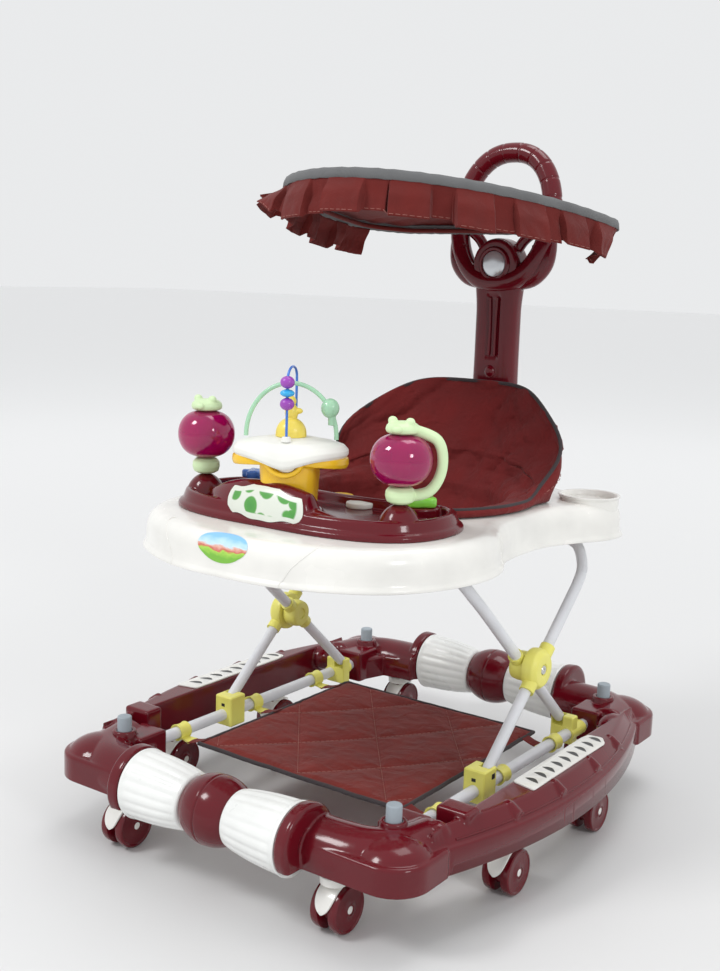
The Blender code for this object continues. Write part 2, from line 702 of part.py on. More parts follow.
def play_tray():
    """The maroon play board: a ledge, a raised rim, a hill at the front and two domes for the toys."""
    edge = board_outline()
    low = TRAY_TOP_Z + GAP
    steps = ((0.0, 0.0), (0.001, 0.007), (0.006, 0.010), (0.010, 0.020), (0.013, 0.022), (0.019, 0.022), (0.022, 0.010))
    board = loft("play_tray", [at_height(shrink(edge, inset), low + rise) for inset, rise in steps], "maroon_plastic")
    hill = ball("hill", (0.0, -0.236, low), (0.106, 0.0212, 0.0495))
    below = box("hill_below", (-0.3, -0.4, 0.3), (0.3, 0.1, low))
    join(board, hill)
    for side in (-1, 1):
        dome = cylinder(f"toy_dome_{side}", (side * TOY_X, TOY_Y, low + TOY_DOME_HEIGHT / 2), 0.0255, TOY_DOME_HEIGHT,
                        top_radius=0.018)
        deck = cylinder(f"toy_deck_{side}", (side * CLICKER_AT[0], CLICKER_AT[1], low + DECK_HEIGHT / 2), 0.0240, DECK_HEIGHT)
        join(board, dome, deck)
    join(board, cylinder("tower_foot", (0, TOWER_Y, low + TOWER_FOOT / 2), 0.042, TOWER_FOOT))
    clearance = loft("tower_clearance", house_rings(low + TOWER_FOOT, 0.0008), None)
    cut(board, below, clearance)
    return board


# Handle and canopy ------------------------------------------------------------------------------
def push_handle():
    """The upright column, its round head and the ring grip as one moulding."""
    half, deep = COLUMN_WIDTH / 2, COLUMN_DEPTH / 2
    rings = []
    for z, wide, thick, y in ((COLUMN_Z[0], half, deep, COLUMN_Y), (0.56, half, deep, COLUMN_Y),
                              (0.66, half * 0.95, deep, COLUMN_Y - 0.001), (0.715, half * 1.12, deep, COLUMN_Y - 0.002),
                              (0.746, half * 1.15, deep, COLUMN_Y - 0.001)):
        corner = [(wide, -thick * 0.55), (wide, thick * 0.55), (wide * 0.75, thick), (-wide * 0.75, thick),
                  (-wide, thick * 0.55), (-wide, -thick * 0.55), (-wide * 0.75, -thick), (wide * 0.75, -thick)]
        rings.append([(x, y + dy, z) for x, dy in corner])
    handle = loft("push_handle", rings, "maroon_plastic")
    head = cylinder("handle_head", (0, COLUMN_Y - 0.001, HUB_DISC_Z), 0.0375, 0.040, "Y")
    ring = []
    for i in range(28):
        angle = 2 * math.pi * i / 28
        along = RING_SEMI[1] * math.sin(angle)
        ring.append((RING_SEMI[0] * math.cos(angle), RING_CENTRE[1] + along * math.sin(RING_LEAN),
                     RING_CENTRE[2] + along * math.cos(RING_LEAN)))
    grip = tube("ring_grip", ring, RING_TUBE_RADIUS, closed=True)
    join(handle, head, grip)
    recess = cylinder("badge_recess", (0, COLUMN_Y - 0.0215, HUB_DISC_Z), 0.0192, 0.006, "Y")
    cut(handle, recess)
    cut(handle, cylinder("canopy_axle_bore", (0, *CANOPY_PIVOT), 0.0038, 0.3, "X", segments=10))
    badge = cylinder("handle_badge", (0, COLUMN_Y - 0.0212, HUB_DISC_Z), 0.0187, 0.0046, "Y", "silver_plastic")
    return badge


def canopy_rim(scale=1.0, flare=0.0, drop=0.0, count=None):
    """Egg-shaped rim in plan, cut straight at the back, on a slope that rises to the front."""
    points = []
    count = count or CANOPY_POINTS
    for i in range(count):
        angle = 2 * math.pi * i / count + math.pi / 2
        long = CANOPY_REAR if math.sin(angle) > 0 else CANOPY_FRONT
        x = (CANOPY_HALF_WIDTH * scale + flare) * math.cos(angle)
        y = CANOPY_Y + (long * scale + flare) * math.sin(angle)
        y = min(y, CANOPY_CUT_Y)
        z = CANOPY_PIVOT[1] - CANOPY_SLOPE * (y - 0.27) - drop
        points.append(Vector((x, y, z)))
    return points


def canopy():
    """A shallow fabric cap on its wire hoop, with a hanging valance at the front and sides."""
    rings = [
        [p + Vector((0, 0, 0.010)) for p in canopy_rim(scale=0.35)],
        [p + Vector((0, 0, 0.006)) for p in canopy_rim(scale=0.75)],
        canopy_rim(),
    ]
    shape = bmesh.new()
    rows = [[shape.verts.new(p) for p in ring] for ring in rings]
    count = CANOPY_POINTS
    shape.faces.new(rows[0])
    for inner, outer in zip(rows, rows[1:]):
        for i in range(count):
            j = (i + 1) % count
            shape.faces.new((inner[i], inner[j], outer[j], outer[i]))
    hems = [canopy_rim(flare=VALANCE_FLARE * t, drop=VALANCE_DROP * t) for t in (0.5, 1.0)]
    valance = [i for i in range(count) if rings[-1][i].y < CANOPY_CUT_Y - 0.003]
    above = {i: rows[-1][i] for i in valance}
    for hem in hems:
        lower = {i: shape.verts.new(hem[i]) for i in valance}
        for i, j in zip(valance, valance[1:]):
            shape.faces.new((above[i], above[j], lower[j], lower[i]))
        above = lower
    cloth = mesh_object("canopy", shape, "maroon_fabric")
    skin = cloth.modifiers.new("cloth", "SOLIDIFY")
    skin.thickness = 0.002
    skin.offset = 1.0
    set_origin(cloth, (0, *CANOPY_PIVOT))
    inset = [p - Vector((0, 0, 0.0058)) for p in canopy_rim(scale=0.955, count=24)]
    inset = [Vector((p.x, min(p.y, CANOPY_CUT_Y - 0.006), p.z)) for p in inset]
    hoop = tube("canopy_hoop", inset, 0.003, "grey_tube", resolution=1, closed=True)
    join(hoop, cylinder("canopy_axle", (0, *CANOPY_PIVOT), 0.0032, 2 * CANOPY_AXLE_X, "X", segments=10))
    hoop_back = (CANOPY_CUT_Y - 0.006, CANOPY_PIVOT[1] - CANOPY_SLOPE * (CANOPY_CUT_Y - 0.27) - 0.0058)
    for side in (-1, 1):
        x = side * (CANOPY_AXLE_X - 0.003)
        link = tube(f"canopy_link_{side}", [(x, CANOPY_PIVOT[0] + 0.002, CANOPY_PIVOT[1]), (x, *hoop_back)], 0.0036,
                    resolution=1)
        join(hoop, link)
    set_origin(hoop, (0, *CANOPY_PIVOT))
    return cloth


# Seat ------------------------------------------------------------------------------------------
def seat_rim(amount, z_low, z_back, flare=0.0):
    """A loop round the seat, level at the front and sides and raised round the back."""
    points = []
    for i in range(SEAT_POINTS):
        angle = 2 * math.pi * i / SEAT_POINTS - math.pi / 2
        back = max(0.0, math.sin(angle))
        wide = amount + flare * min(1.0, 2.5 * back)
        x = OPENING_HALF[0] * wide * math.cos(angle)
        y = OPENING_Y + OPENING_HALF[1] * wide * math.sin(angle)
        points.append(Vector((x, y, z_low + (z_back - z_low) * back ** 0.7)))
    return points


def seat():
    """The fabric seat: a sling with two leg holes and a raised back."""
    rings = [
        seat_rim(0.93, 0.437, 0.576, 0.24),
        seat_rim(0.93, 0.432, 0.470, 0.12),
        seat_rim(0.93, 0.424, 0.424),
        seat_rim(0.90, 0.395, 0.395),
        seat_rim(0.78, 0.345, 0.345),
        seat_rim(0.42, 0.318, 0.318),
    ]
    shape = bmesh.new()
    rows = [[shape.verts.new(p) for p in ring] for ring in rings]
    for upper, lower in zip(rows, rows[1:]):
        for i in range(SEAT_POINTS):
            j = (i + 1) % SEAT_POINTS
            shape.faces.new((upper[i], upper[j], lower[j], lower[i]))
    shape.faces.new(rows[-1])
    sling = mesh_object("seat", shape, "maroon_fabric")
    skin = sling.modifiers.new("cloth", "SOLIDIFY")
    skin.thickness = 0.004
    skin.offset = -1.0
    for side in (-1, 1):
        hole = cylinder(f"leg_hole_{side}", (side * 0.062, -0.035, 0.33), 0.040, 0.09)
        cut(sling, hole)
    return sling


# Toys ----------------------------------------------------------------------------------------
def ball_toy(tag, side):
    """A clear ball held between a small body and a head that a curved arm joins."""
    x, y = side * TOY_X, TOY_Y
    base_z = TRAY_TOP_Z + GAP + TOY_DOME_HEIGHT + GAP
    frame = cylinder(f"{tag}_toy_frame", (x, y, base_z + 0.0095), 0.0170, 0.019, finish="mint_plastic")
    reaches = [(0, 0.004, 0.008), (0.027, 0.020, 0.015), (0.0375, 0.0275, 0.040), (0.031, 0.023, 0.076),
               (0.003, 0.002, 0.0855)]
    arm = spline_points([(x + side * dx, y + dy, base_z + dz) for dx, dy, dz in reaches], 7)
    join(
        frame,
        tube(f"{tag}_arm", arm, 0.0058, resolution=1),
        ball(f"{tag}_cap", (x, y, base_z + 0.0850), (0.0195, 0.0195, 0.0092), segments=10),
        ball(f"{tag}_ear_near", (x - 0.012, y - 0.003, base_z + 0.0935), (0.006, 0.006, 0.006), segments=8),
        ball(f"{tag}_ear_far", (x + 0.010, y + 0.004, base_z + 0.0935), (0.006, 0.006, 0.006), segments=8),
        cylinder(f"{tag}_pin", (x, y, base_z + 0.046), 0.003, 0.078, segments=8),
    )
    middle = base_z + 0.0473
    globe = ball(f"{tag}_toy_ball", (x, y, middle), (0.0355, 0.0355, 0.0272), "magenta_plastic", segments=16)
    cut(globe, cylinder(f"{tag}_ball_bore", (x, y, middle), 0.0036, 0.08, segments=8))
    set_origin(globe, (x, y, middle))
    return frame


def star(x, y, radius, depth, points, count):
    """A rounded star: the radius swings in and out as it goes round."""
    made = []
    for i in range(count):
        angle = 2 * math.pi * i / count
        reach = radius - depth * (0.5 - 0.5 * math.cos(points * (angle + math.pi / 2)))
        made.append((x + reach * math.cos(angle), y + reach * math.sin(angle)))
    return made


def turned_about_tower(points):
    """Points of the tower's own frame, turned to its place on the board."""
    turn = math.radians(TOWER_TURN)
    return [Vector((x * math.cos(turn) - y * math.sin(turn), TOWER_Y + x * math.sin(turn) + y * math.cos(turn), z))
            for x, y, z in points]


def rounded_square(half, z, count=20):
    """A square ring with strongly rounded corners, in the tower's own frame."""
    ring = []
    for i in range(count):
        angle = 2 * math.pi * i / count
        c, s = math.cos(angle), math.sin(angle)
        reach = half / (abs(c) ** 4 + abs(s) ** 4) ** 0.25
        ring.append((reach * c, reach * s, z))
    return ring


def roof_ring(reach, z, droop, count=32):
    """A four-lobed roof outline: long lobes at the two ends, short ones in front and behind."""
    ring = []
    for i in range(count):
        angle = 2 * math.pi * i / count
        c, s = abs(math.cos(angle)), abs(math.sin(angle))
        lobe = reach * c ** 4 + 0.62 * reach * s ** 3 + 0.42 * reach * (2 * c * s) ** 2
        ring.append((lobe * math.cos(angle), lobe * math.sin(angle), z - droop * c ** 6))
    return ring


def house_rings(low, grow=0.0):
    near, far = HOUSE_HALF
    return [turned_about_tower(rounded_square(near + grow, low)),
            turned_about_tower(rounded_square(far + grow, low + HOUSE_HEIGHT))]


def activity_tower():
    """The middle toy: a yellow house, white icing, a green arch, a bead wire and a finger knob."""
    low = TRAY_TOP_Z + GAP + TOWER_FOOT + GAP
    house = loft("tower_house", house_rings(low), "yellow_plastic")
    roof = low + HOUSE_HEIGHT
    eaves = [(0.60, -0.010, 0.004), (0.97, -0.010, 0.010), (1.0, -0.006, 0.010), (0.93, 0.0, 0.008), (0.60, 0.003, 0.0)]
    rings = [turned_about_tower(roof_ring(EAVES_REACH * share, roof + rise, droop)) for share, rise, droop in eaves]
    join(house, loft("tower_eaves", rings, None))
    base_z = roof + 0.0012
    layers = [(0.60, 0.003, 0.0), (0.92, 0.0, 0.0075), (1.0, 0.002, 0.008), (0.98, 0.008, 0.008), (0.78, 0.016, 0.002),
              (0.50, 0.023, 0.0)]
    rings = [turned_about_tower(roof_ring(ICING_REACH * share, base_z + rise, droop)) for share, rise, droop in layers]
    loft("tower_icing", rings, "white_plastic")
    top = base_z + 0.023 + GAP
    arch = []
    for i in range(13):
        angle = math.pi * i / 12
        arch.append((ARCH_HALF * math.cos(angle), 0.0, ARCH_FOOT_Z + ARCH_HEIGHT * math.sin(angle)))
    rattle = tube("rattle_arch", turned_about_tower(arch), 0.0027, "clear_green_plastic", resolution=1)
    bead_at = turned_about_tower([(0.0465, 0.0, ARCH_FOOT_Z + 0.036)])[0]
    join(rattle, ball("rattle_bead", bead_at, (0.011, 0.0105, 0.011), segments=10))
    wire = [(0.0, -LOOP_RADIUS, top)]
    for i in range(11):
        angle = math.pi * i / 10
        wire.append((0.0, -LOOP_RADIUS * math.cos(angle), LOOP_STRAIGHT_TOP + LOOP_ARCH * math.sin(angle)))
    wire.append((0.0, LOOP_RADIUS, top))
    tube("bead_loop", turned_about_tower(wire), 0.0016, "blue_plastic", resolution=1)
    beads_at = turned_about_tower([(0.0, -LOOP_RADIUS, LOOP_STRAIGHT_TOP - 1.5 * BEAD_PITCH)])[0]
    stack = turned("bead_stack", bead_profile(), beads_at, finish="purple_plastic", steps=12, closed=True)
    knob = ball("finger_knob", (0.0, TOWER_Y, top), (0.0184, 0.0184, KNOB_DOME), "yellow_plastic", segments=14)
    cut(knob, box("knob_below", (-0.05, TOWER_Y - 0.05, top - 0.05), (0.05, TOWER_Y + 0.05, top)))
    join(knob, ball("knob_head", (0.0, TOWER_Y, top + KNOB_DOME + 0.010), (0.0052, 0.0052, 0.0155), segments=12))
    return stack


def bead_profile():
    """Three round beads in a column with one bore, as a closed profile."""
    outer = []
    for bead in (1, 0, -1):
        for angle in np.radians([48, 18, -18, -48]):
            outer.append((0.0085 * math.cos(angle), bead * BEAD_PITCH + 0.0083 * math.sin(angle)))
    return outer + [(0.0026, outer[-1][1]), (0.0026, outer[0][1])]


def small_toys():
    """A clicker with its flower at the right of the play board, and a spinner at the left."""
    deck = TRAY_TOP_Z + GAP + DECK_HEIGHT
    x, y = CLICKER_AT
    base_plate = plate("clicker_base", star(x, y, 0.021, 0.006, 4, 24), deck + GAP, deck + 0.0125, "lime_plastic")
    cut(base_plate, cylinder("clicker_bore", (x, y, deck + 0.01), 0.0034, 0.04, segments=10))
    flower = plate("clicker_flower", star(x, y, 0.015, 0.005, 5, 30), deck + 0.0125 + GAP, deck + 0.0195,
                   "red_plastic")
    join(flower, cylinder("flower_pin", (x, y, deck + 0.0105), 0.003, 0.016, segments=10))
    set_origin(flower, (x, y, deck + 0.0125))
    x, y = SPINNER_AT
    spinner = plate("blue_spinner", star(x, y, 0.019, 0.007, 6, 30), deck + 0.003, deck + 0.014, "blue_plastic")
    join(spinner, cylinder("spinner_pin", (x, y, deck + 0.0075), 0.003, 0.015 - 2 * GAP, segments=10))
    set_origin(spinner, (x, y, deck))
    return base_plate


base()
for caster_place, (caster_x, caster_y) in CASTERS.items():
    caster(caster_place, caster_x, caster_y)
scissor_frame()
tray_shell()
play_tray()
push_handle()
canopy()
seat()
ball_toy("left", -1)
ball_toy("right", 1)
activity_tower()
small_toys()
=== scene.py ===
"""The looks of the baby walker: its visible pieces, materials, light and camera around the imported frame.

Metres, +X to the right seen from the front, +Y to the back, +Z up, as in the frame.
"""

import math

import bmesh
import bpy
import numpy as np
from mathutils import Matrix, Vector, noise


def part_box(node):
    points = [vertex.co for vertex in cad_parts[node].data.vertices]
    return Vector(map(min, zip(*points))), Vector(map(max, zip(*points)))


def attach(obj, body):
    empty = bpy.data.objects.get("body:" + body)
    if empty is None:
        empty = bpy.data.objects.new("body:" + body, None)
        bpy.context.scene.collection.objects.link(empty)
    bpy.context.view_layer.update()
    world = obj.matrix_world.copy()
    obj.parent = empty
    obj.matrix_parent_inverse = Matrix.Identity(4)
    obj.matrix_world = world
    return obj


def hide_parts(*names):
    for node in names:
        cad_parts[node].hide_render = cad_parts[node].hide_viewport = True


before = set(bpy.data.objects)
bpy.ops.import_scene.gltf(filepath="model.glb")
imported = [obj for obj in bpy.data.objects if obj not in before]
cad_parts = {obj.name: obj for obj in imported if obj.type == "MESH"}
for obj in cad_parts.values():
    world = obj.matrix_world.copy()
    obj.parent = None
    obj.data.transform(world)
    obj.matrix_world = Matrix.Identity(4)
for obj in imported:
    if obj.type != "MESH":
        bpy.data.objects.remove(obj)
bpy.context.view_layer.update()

# Camera ------------------------------------------------------------------------------------------
CAMERA_PLACE = (0.926, -1.360, 0.7255)
CAMERA_TURN = 35.45
CAMERA_DOWN = 9.65
CAMERA_ROLL = 1.9
CAMERA_LENS = 46.16


def photo_camera():
    """A camera turned to the walker's right front, a little above the tray, with a slight roll."""
    turn, down, roll = (math.radians(a) for a in (CAMERA_TURN, CAMERA_DOWN, CAMERA_ROLL))
    ahead = Vector((-math.sin(turn) * math.cos(down), math.cos(turn) * math.cos(down), -math.sin(down)))
    right = ahead.cross(Vector((0, 0, 1))).normalized()
    up = right.cross(ahead)
    across = right * math.cos(roll) + up * math.sin(roll)
    above = up * math.cos(roll) - right * math.sin(roll)
    turned = Matrix((across, above, -ahead)).transposed().to_4x4()
    data = bpy.data.cameras.new("camera")
    data.sensor_width = 36.0
    data.lens = CAMERA_LENS
    camera = bpy.data.objects.new("camera", data)
    camera.matrix_world = Matrix.Translation(CAMERA_PLACE) @ turned
    bpy.context.scene.collection.objects.link(camera)
    bpy.context.scene.camera = camera


# Materials ---------------------------------------------------------------------------------------
def set_inputs(target, inputs):
    """Give a shader node its inputs: each is a number, a colour or another node's output."""
    for key, value in inputs.items():
        if isinstance(value, bpy.types.NodeSocket):
            target.id_data.links.new(value, target.inputs[key])
        else:
            target.inputs[key].default_value = value


def node(look, kind, inputs=None, **settings):
    """Add one shader node."""
    made = look.node_tree.nodes.new(kind)
    for key, value in settings.items():
        setattr(made, key, value)
    set_inputs(made, inputs or {})
    return made


def new_look(name):
    """A new material and its main shader."""
    look = bpy.data.materials.new(name)
    look.use_nodes = True
    return look, look.node_tree.nodes["Principled BSDF"]


def shade(colour, amount):
    """A colour made lighter, above 1, or darker, below 1."""
    return tuple(min(1.0, c * amount) for c in colour) + (1.0,)


def ramp(look, value, stops):
    """A colour ramp through (position, colour) stops."""
    made = node(look, "ShaderNodeValToRGB", {"Fac": value})
    band = made.color_ramp
    band.elements[0].position, band.elements[0].color = stops[0]
    band.elements[1].position, band.elements[1].color = stops[-1]
    for position, colour in stops[1:-1]:
        band.elements.new(position).color = colour
    return made.outputs["Color"]


def mix(look, factor, first, second):
    """Blend two colours."""
    return node(look, "ShaderNodeMix", {0: factor, 6: first, 7: second}, data_type="RGBA").outputs[2]


def ranged(look, value, low, high, from_low=0.3, from_high=0.7):
    """Map a value from one range to another."""
    made = node(look, "ShaderNodeMapRange", {
        "Value": value, "From Min": from_low, "From Max": from_high, "To Min": low, "To Max": high,
    })
    return made.outputs["Result"]


def mottle(look, place, scale, detail, distortion=0.0):
    """Noise from 0 to 1."""
    inputs = {"Vector": place, "Scale": scale, "Detail": detail, "Distortion": distortion}
    return node(look, "ShaderNodeTexNoise", inputs).outputs["Fac"]


def bump(look, height, strength, distance, under=None):
    """A bumped normal, on top of another one if given."""
    inputs = {"Height": height, "Strength": strength, "Distance": distance}
    if under:
        inputs["Normal"] = under
    return node(look, "ShaderNodeBump", inputs).outputs["Normal"]


def maths(look, operation, first, second=0.0):
    """One sum on two shader values."""
    return node(look, "ShaderNodeMath", {0: first, 1: second}, operation=operation).outputs[0]


def plastic(name, colour, roughness, coat=0.0, clear=0.0, wave=0.12, metallic=0.0, wear=0.0, shine=0.5):
    """Moulded plastic: slight colour drift, rubbed edges, fine grain and a faint flow of the surface."""
    look, body = new_look(name)
    place = node(look, "ShaderNodeTexCoord").outputs["Object"]
    cloud = mottle(look, place, 14.0, 3.0)
    tint = ramp(look, cloud, [(0.3, shade(colour, 0.92)), (0.7, shade(colour, 1.06))])
    edge = node(look, "ShaderNodeNewGeometry").outputs["Pointiness"]
    pale = tuple(c + 0.12 * (1 - c) for c in colour) + (1.0,)
    flow = bump(look, mottle(look, place, 22.0, 1.0), wave, 0.0006)
    set_inputs(body, {
        "Base Color": mix(look, ranged(look, edge, 0.0, wear, 0.54, 0.66), tint, pale),
        "Roughness": ranged(look, cloud, roughness * 0.88, min(1.0, roughness * 1.15 + 0.01)),
        "Normal": bump(look, mottle(look, place, 420.0, 1.0), 0.05, 0.00006, flow),
        "Coat Weight": coat, "Coat Roughness": 0.05, "Transmission Weight": clear,
        "Metallic": metallic, "Specular IOR Level": shine,
    })
    return look


def fabric(name, colour, thread=0.0011, crumple=0.5):
    """Woven polyester: crossed threads, a mottled dye, small creases and a soft sheen."""
    look, body = new_look(name)
    place = node(look, "ShaderNodeTexCoord").outputs["Object"]
    waves = {"Vector": place, "Scale": 0.314 / thread, "Distortion": 0.6, "Detail": 1.0, "Detail Scale": 0.6}
    bands = [node(look, "ShaderNodeTexWave", waves, bands_direction=way).outputs["Fac"] for way in "XYZ"]
    both = maths(look, "ADD", bands[0], bands[1])
    weave = maths(look, "MULTIPLY", maths(look, "ADD", both, bands[2]), 1.0 / 3)
    cloud = mottle(look, place, 22.0, 5.0)
    tint = ramp(look, cloud, [(0.28, shade(colour, 0.82)), (0.55, shade(colour, 1.0)), (0.75, shade(colour, 1.12))])
    soft = bump(look, mottle(look, place, 34.0, 3.0, 0.8), crumple, 0.0045)
    set_inputs(body, {
        "Base Color": mix(look, ranged(look, weave, 0.0, 0.22, 0.25, 0.75), tint, shade(colour, 1.5)),
        "Roughness": ranged(look, cloud, 0.72, 0.92),
        "Normal": bump(look, weave, 0.55, 0.00025, soft),
        "Sheen Weight": 0.08, "Sheen Roughness": 0.45, "Specular IOR Level": 0.2,
    })
    return look


def picture_sticker():
    """A small printed landscape: sky, haze, a red band and a field, all as soft bands."""
    look, body = new_look("picture_sticker")
    place = node(look, "ShaderNodeUVMap", uv_map="flat").outputs["UV"]
    rise = node(look, "ShaderNodeSeparateXYZ", {"Vector": place}).outputs["Y"]
    lift = maths(look, "MULTIPLY", mottle(look, place, 5.0, 3.0), 0.35)
    bands = ramp(look, maths(look, "ADD", rise, lift), [
        (0.30, (0.20, 0.50, 0.05, 1)), (0.46, (0.42, 0.72, 0.10, 1)), (0.52, (0.62, 0.12, 0.10, 1)),
        (0.60, (0.80, 0.45, 0.35, 1)), (0.66, (0.60, 0.80, 0.92, 1)), (0.95, (0.25, 0.55, 0.85, 1)),
    ])
    set_inputs(body, {"Base Color": bands, "Roughness": 0.3})
    return look


def patch_sticker():
    """A printed patch: green blots with a yellow middle on white, with no lettering."""
    look, body = new_look("patch_sticker")
    white = (0.74, 0.78, 0.70, 1)
    place = node(look, "ShaderNodeUVMap", uv_map="flat").outputs["UV"]
    stretch = {"Vector": place, "Scale": (4.6, 1.5, 1.0), "Rotation": (0, 0, 0.25)}
    wide = node(look, "ShaderNodeMapping", stretch, vector_type="POINT").outputs[0]
    cells = node(look, "ShaderNodeTexVoronoi", {"Vector": wide, "Scale": 1.15, "Randomness": 0.75})
    spots = ramp(look, cells.outputs["Distance"], [
        (0.14, (0.78, 0.66, 0.08, 1)), (0.22, (0.07, 0.30, 0.06, 1)), (0.52, (0.10, 0.36, 0.07, 1)), (0.58, white),
    ])
    split = node(look, "ShaderNodeSeparateXYZ", {"Vector": place})
    rims = []
    for axis, inner, outer in (("Y", 0.31, 0.34), ("X", 0.42, 0.44)):
        away = maths(look, "ABSOLUTE", maths(look, "SUBTRACT", split.outputs[axis], 0.5))
        rims.append(ranged(look, away, 0.0, 1.0, inner, outer))
    rim = maths(look, "MAXIMUM", rims[0], rims[1])
    set_inputs(body, {"Base Color": mix(look, rim, spots, white), "Roughness": 0.28})
    return look


MAROON = (0.122, 0.0032, 0.0090)
PLASTICS = (
    ("maroon_plastic", MAROON, 0.15, {"coat": 0.15, "shine": 0.35}),
    ("white_plastic", (0.84, 0.83, 0.79), 0.24, {"coat": 0.3, "wear": 0.2}),
    ("white_fluted", (0.86, 0.87, 0.85), 0.28, {"coat": 0.2, "wear": 0.2}),
    ("grey_tube", (0.72, 0.73, 0.76), 0.30, {"coat": 0.2, "wave": 0.08}),
    ("grey_rubber", (0.33, 0.38, 0.42), 0.50, {"wave": 0.1}),
    ("lemon_plastic", (0.83, 0.78, 0.17), 0.38, {}),
    ("magenta_plastic", (0.62, 0.004, 0.19), 0.06, {"coat": 0.25, "clear": 0.62, "wave": 0.05, "shine": 0.6}),
    ("mint_plastic", (0.66, 0.84, 0.50), 0.38, {}),
    ("yellow_plastic", (0.93, 0.57, 0.02), 0.28, {"coat": 0.2}),
    ("icing_plastic", (0.87, 0.87, 0.82), 0.42, {}),
    ("clear_green_plastic", (0.50, 0.85, 0.58), 0.12, {"coat": 0.2, "clear": 0.25}),
    ("cyan_plastic", (0.03, 0.42, 0.80), 0.22, {"coat": 0.3}),
    ("blue_plastic", (0.06, 0.20, 0.66), 0.25, {"coat": 0.2}),
    ("purple_plastic", (0.33, 0.06, 0.45), 0.25, {"coat": 0.2}),
    ("lime_plastic", (0.25, 0.72, 0.07), 0.25, {"coat": 0.2}),
    ("red_plastic", (0.72, 0.04, 0.03), 0.25, {"coat": 0.2}),
    ("silver_plastic", (0.62, 0.65, 0.68), 0.22, {"coat": 0.5, "metallic": 0.6}),
    ("black_plastic", (0.02, 0.02, 0.02), 0.35, {}),
    ("steel", (0.62, 0.62, 0.60), 0.25, {"metallic": 1.0}),
    ("butter_plastic", (0.90, 0.72, 0.12), 0.30, {"coat": 0.1}),
    ("magenta_core", (0.62, 0.004, 0.22), 0.3, {}),
)
FABRICS = (
    ("maroon_fabric", (0.165, 0.0180, 0.0180), 0.0011, 1.0),
    ("mat_fabric", (0.185, 0.024, 0.019), 0.0011, 0.9),
    ("canopy_fabric", (0.135, 0.0165, 0.0140), 0.0011, 0.5),
    ("dark_piping", (0.055, 0.045, 0.048), 0.0009, 0.1),
    ("grey_piping", (0.150, 0.152, 0.155), 0.0009, 0.1),
    ("stitch_thread", (0.36, 0.15, 0.125), 0.0005, 0.0),
)
LOOKS = {name: plastic(name, colour, roughness, **more) for name, colour, roughness, more in PLASTICS}
LOOKS.update((name, fabric(name, colour, thread, creases)) for name, colour, thread, creases in FABRICS)
LOOKS["picture_sticker"] = picture_sticker()
LOOKS["patch_sticker"] = patch_sticker()

# Objects and meshes ------------------------------------------------------------------------------
def linked(name, data):
    """A new object in the scene."""
    thing = bpy.data.objects.new(name, data)
    bpy.context.scene.collection.objects.link(thing)
    return thing


def mesh_of(name, shape):
    """A mesh made from a bmesh, which is used up."""
    data = bpy.data.meshes.new(name)
    shape.to_mesh(data)
    shape.free()
    return data


def settled(thing):
    """An object's shape after its modifiers. The object is used up."""
    graph = bpy.context.evaluated_depsgraph_get()
    data = bpy.data.meshes.new_from_object(thing.evaluated_get(graph))
    bpy.data.objects.remove(thing, do_unlink=True)
    shape = bmesh.new()
    shape.from_mesh(data)
    bpy.data.meshes.remove(data)
    return shape


def piece(name, shape, look, body, replaces=(), sharp=38, subdivide=0, recalc=True):
    """Turn a bmesh into a smooth object that rides on a body and may stand for CAD nodes."""
    if recalc:
        bmesh.ops.recalc_face_normals(shape, faces=shape.faces)
    data = mesh_of(name, shape)
    data.materials.append(LOOKS[look])
    data.shade_smooth()
    if sharp:
        data.set_sharp_from_angle(angle=math.radians(sharp))
    thing = linked(name, data)
    if subdivide:
        finer = thing.modifiers.new("finer", "SUBSURF")
        finer.levels = finer.render_levels = subdivide
    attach(thing, body)
    if replaces:
        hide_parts(*replaces)
    return thing


def thicken(thing, thickness, offset=-1.0):
    """Give a sheet its thickness: inwards at -1, outwards at 1."""
    wall = thing.modifiers.new("wall", "SOLIDIFY")
    wall.thickness = thickness
    wall.offset = offset


def joined(*shapes):
    """Several bmeshes as one, each still a closed shape of its own."""
    whole = bmesh.new()
    for shape in shapes:
        data = mesh_of("part", shape)
        whole.from_mesh(data)
        bpy.data.meshes.remove(data)
    return whole


def mirrored(shape):
    """The same shape across X = 0."""
    copy = shape.copy()
    bmesh.ops.transform(copy, matrix=Matrix.Diagonal((-1, 1, 1, 1)), verts=copy.verts)
    bmesh.ops.reverse_faces(copy, faces=copy.faces)
    return copy


def pair(name, shape, look, body, **more):
    """The same piece mirrored on the left and as it is on the right."""
    return [piece(f"left_{name}", mirrored(shape), look, body, **more),
            piece(f"right_{name}", shape, look, body, **more)]


# Geometry helpers --------------------------------------------------------------------------------
SIDES = (("left", -1), ("right", 1))
AXES = {"X": Matrix.Rotation(math.pi / 2, 4, "Y"), "Y": Matrix.Rotation(-math.pi / 2, 4, "X"), "Z": Matrix()}


def eased(value, low, high):
    """0 below low, 1 above high and a smooth step between."""
    t = min(1.0, max(0.0, (value - low) / (high - low)))
    return t * t * (3 - 2 * t)


def skin(rings, closed=True, ends=(True, True), loop=False):
    """A surface through rings of equal counts of points."""
    shape = bmesh.new()
    rows = [[shape.verts.new(p) for p in ring] for ring in rings]
    count = len(rows[0])
    pairs = list(zip(rows, rows[1:]))
    if loop:
        pairs.append((rows[-1], rows[0]))
    for lower, upper in pairs:
        for i in range(count if closed else count - 1):
            j = (i + 1) % count
            shape.faces.new((lower[i], lower[j], upper[j], upper[i]))
    if closed and not loop:
        if ends[0]:
            shape.faces.new(rows[0][::-1])
        if ends[1]:
            shape.faces.new(rows[-1])
    return shape


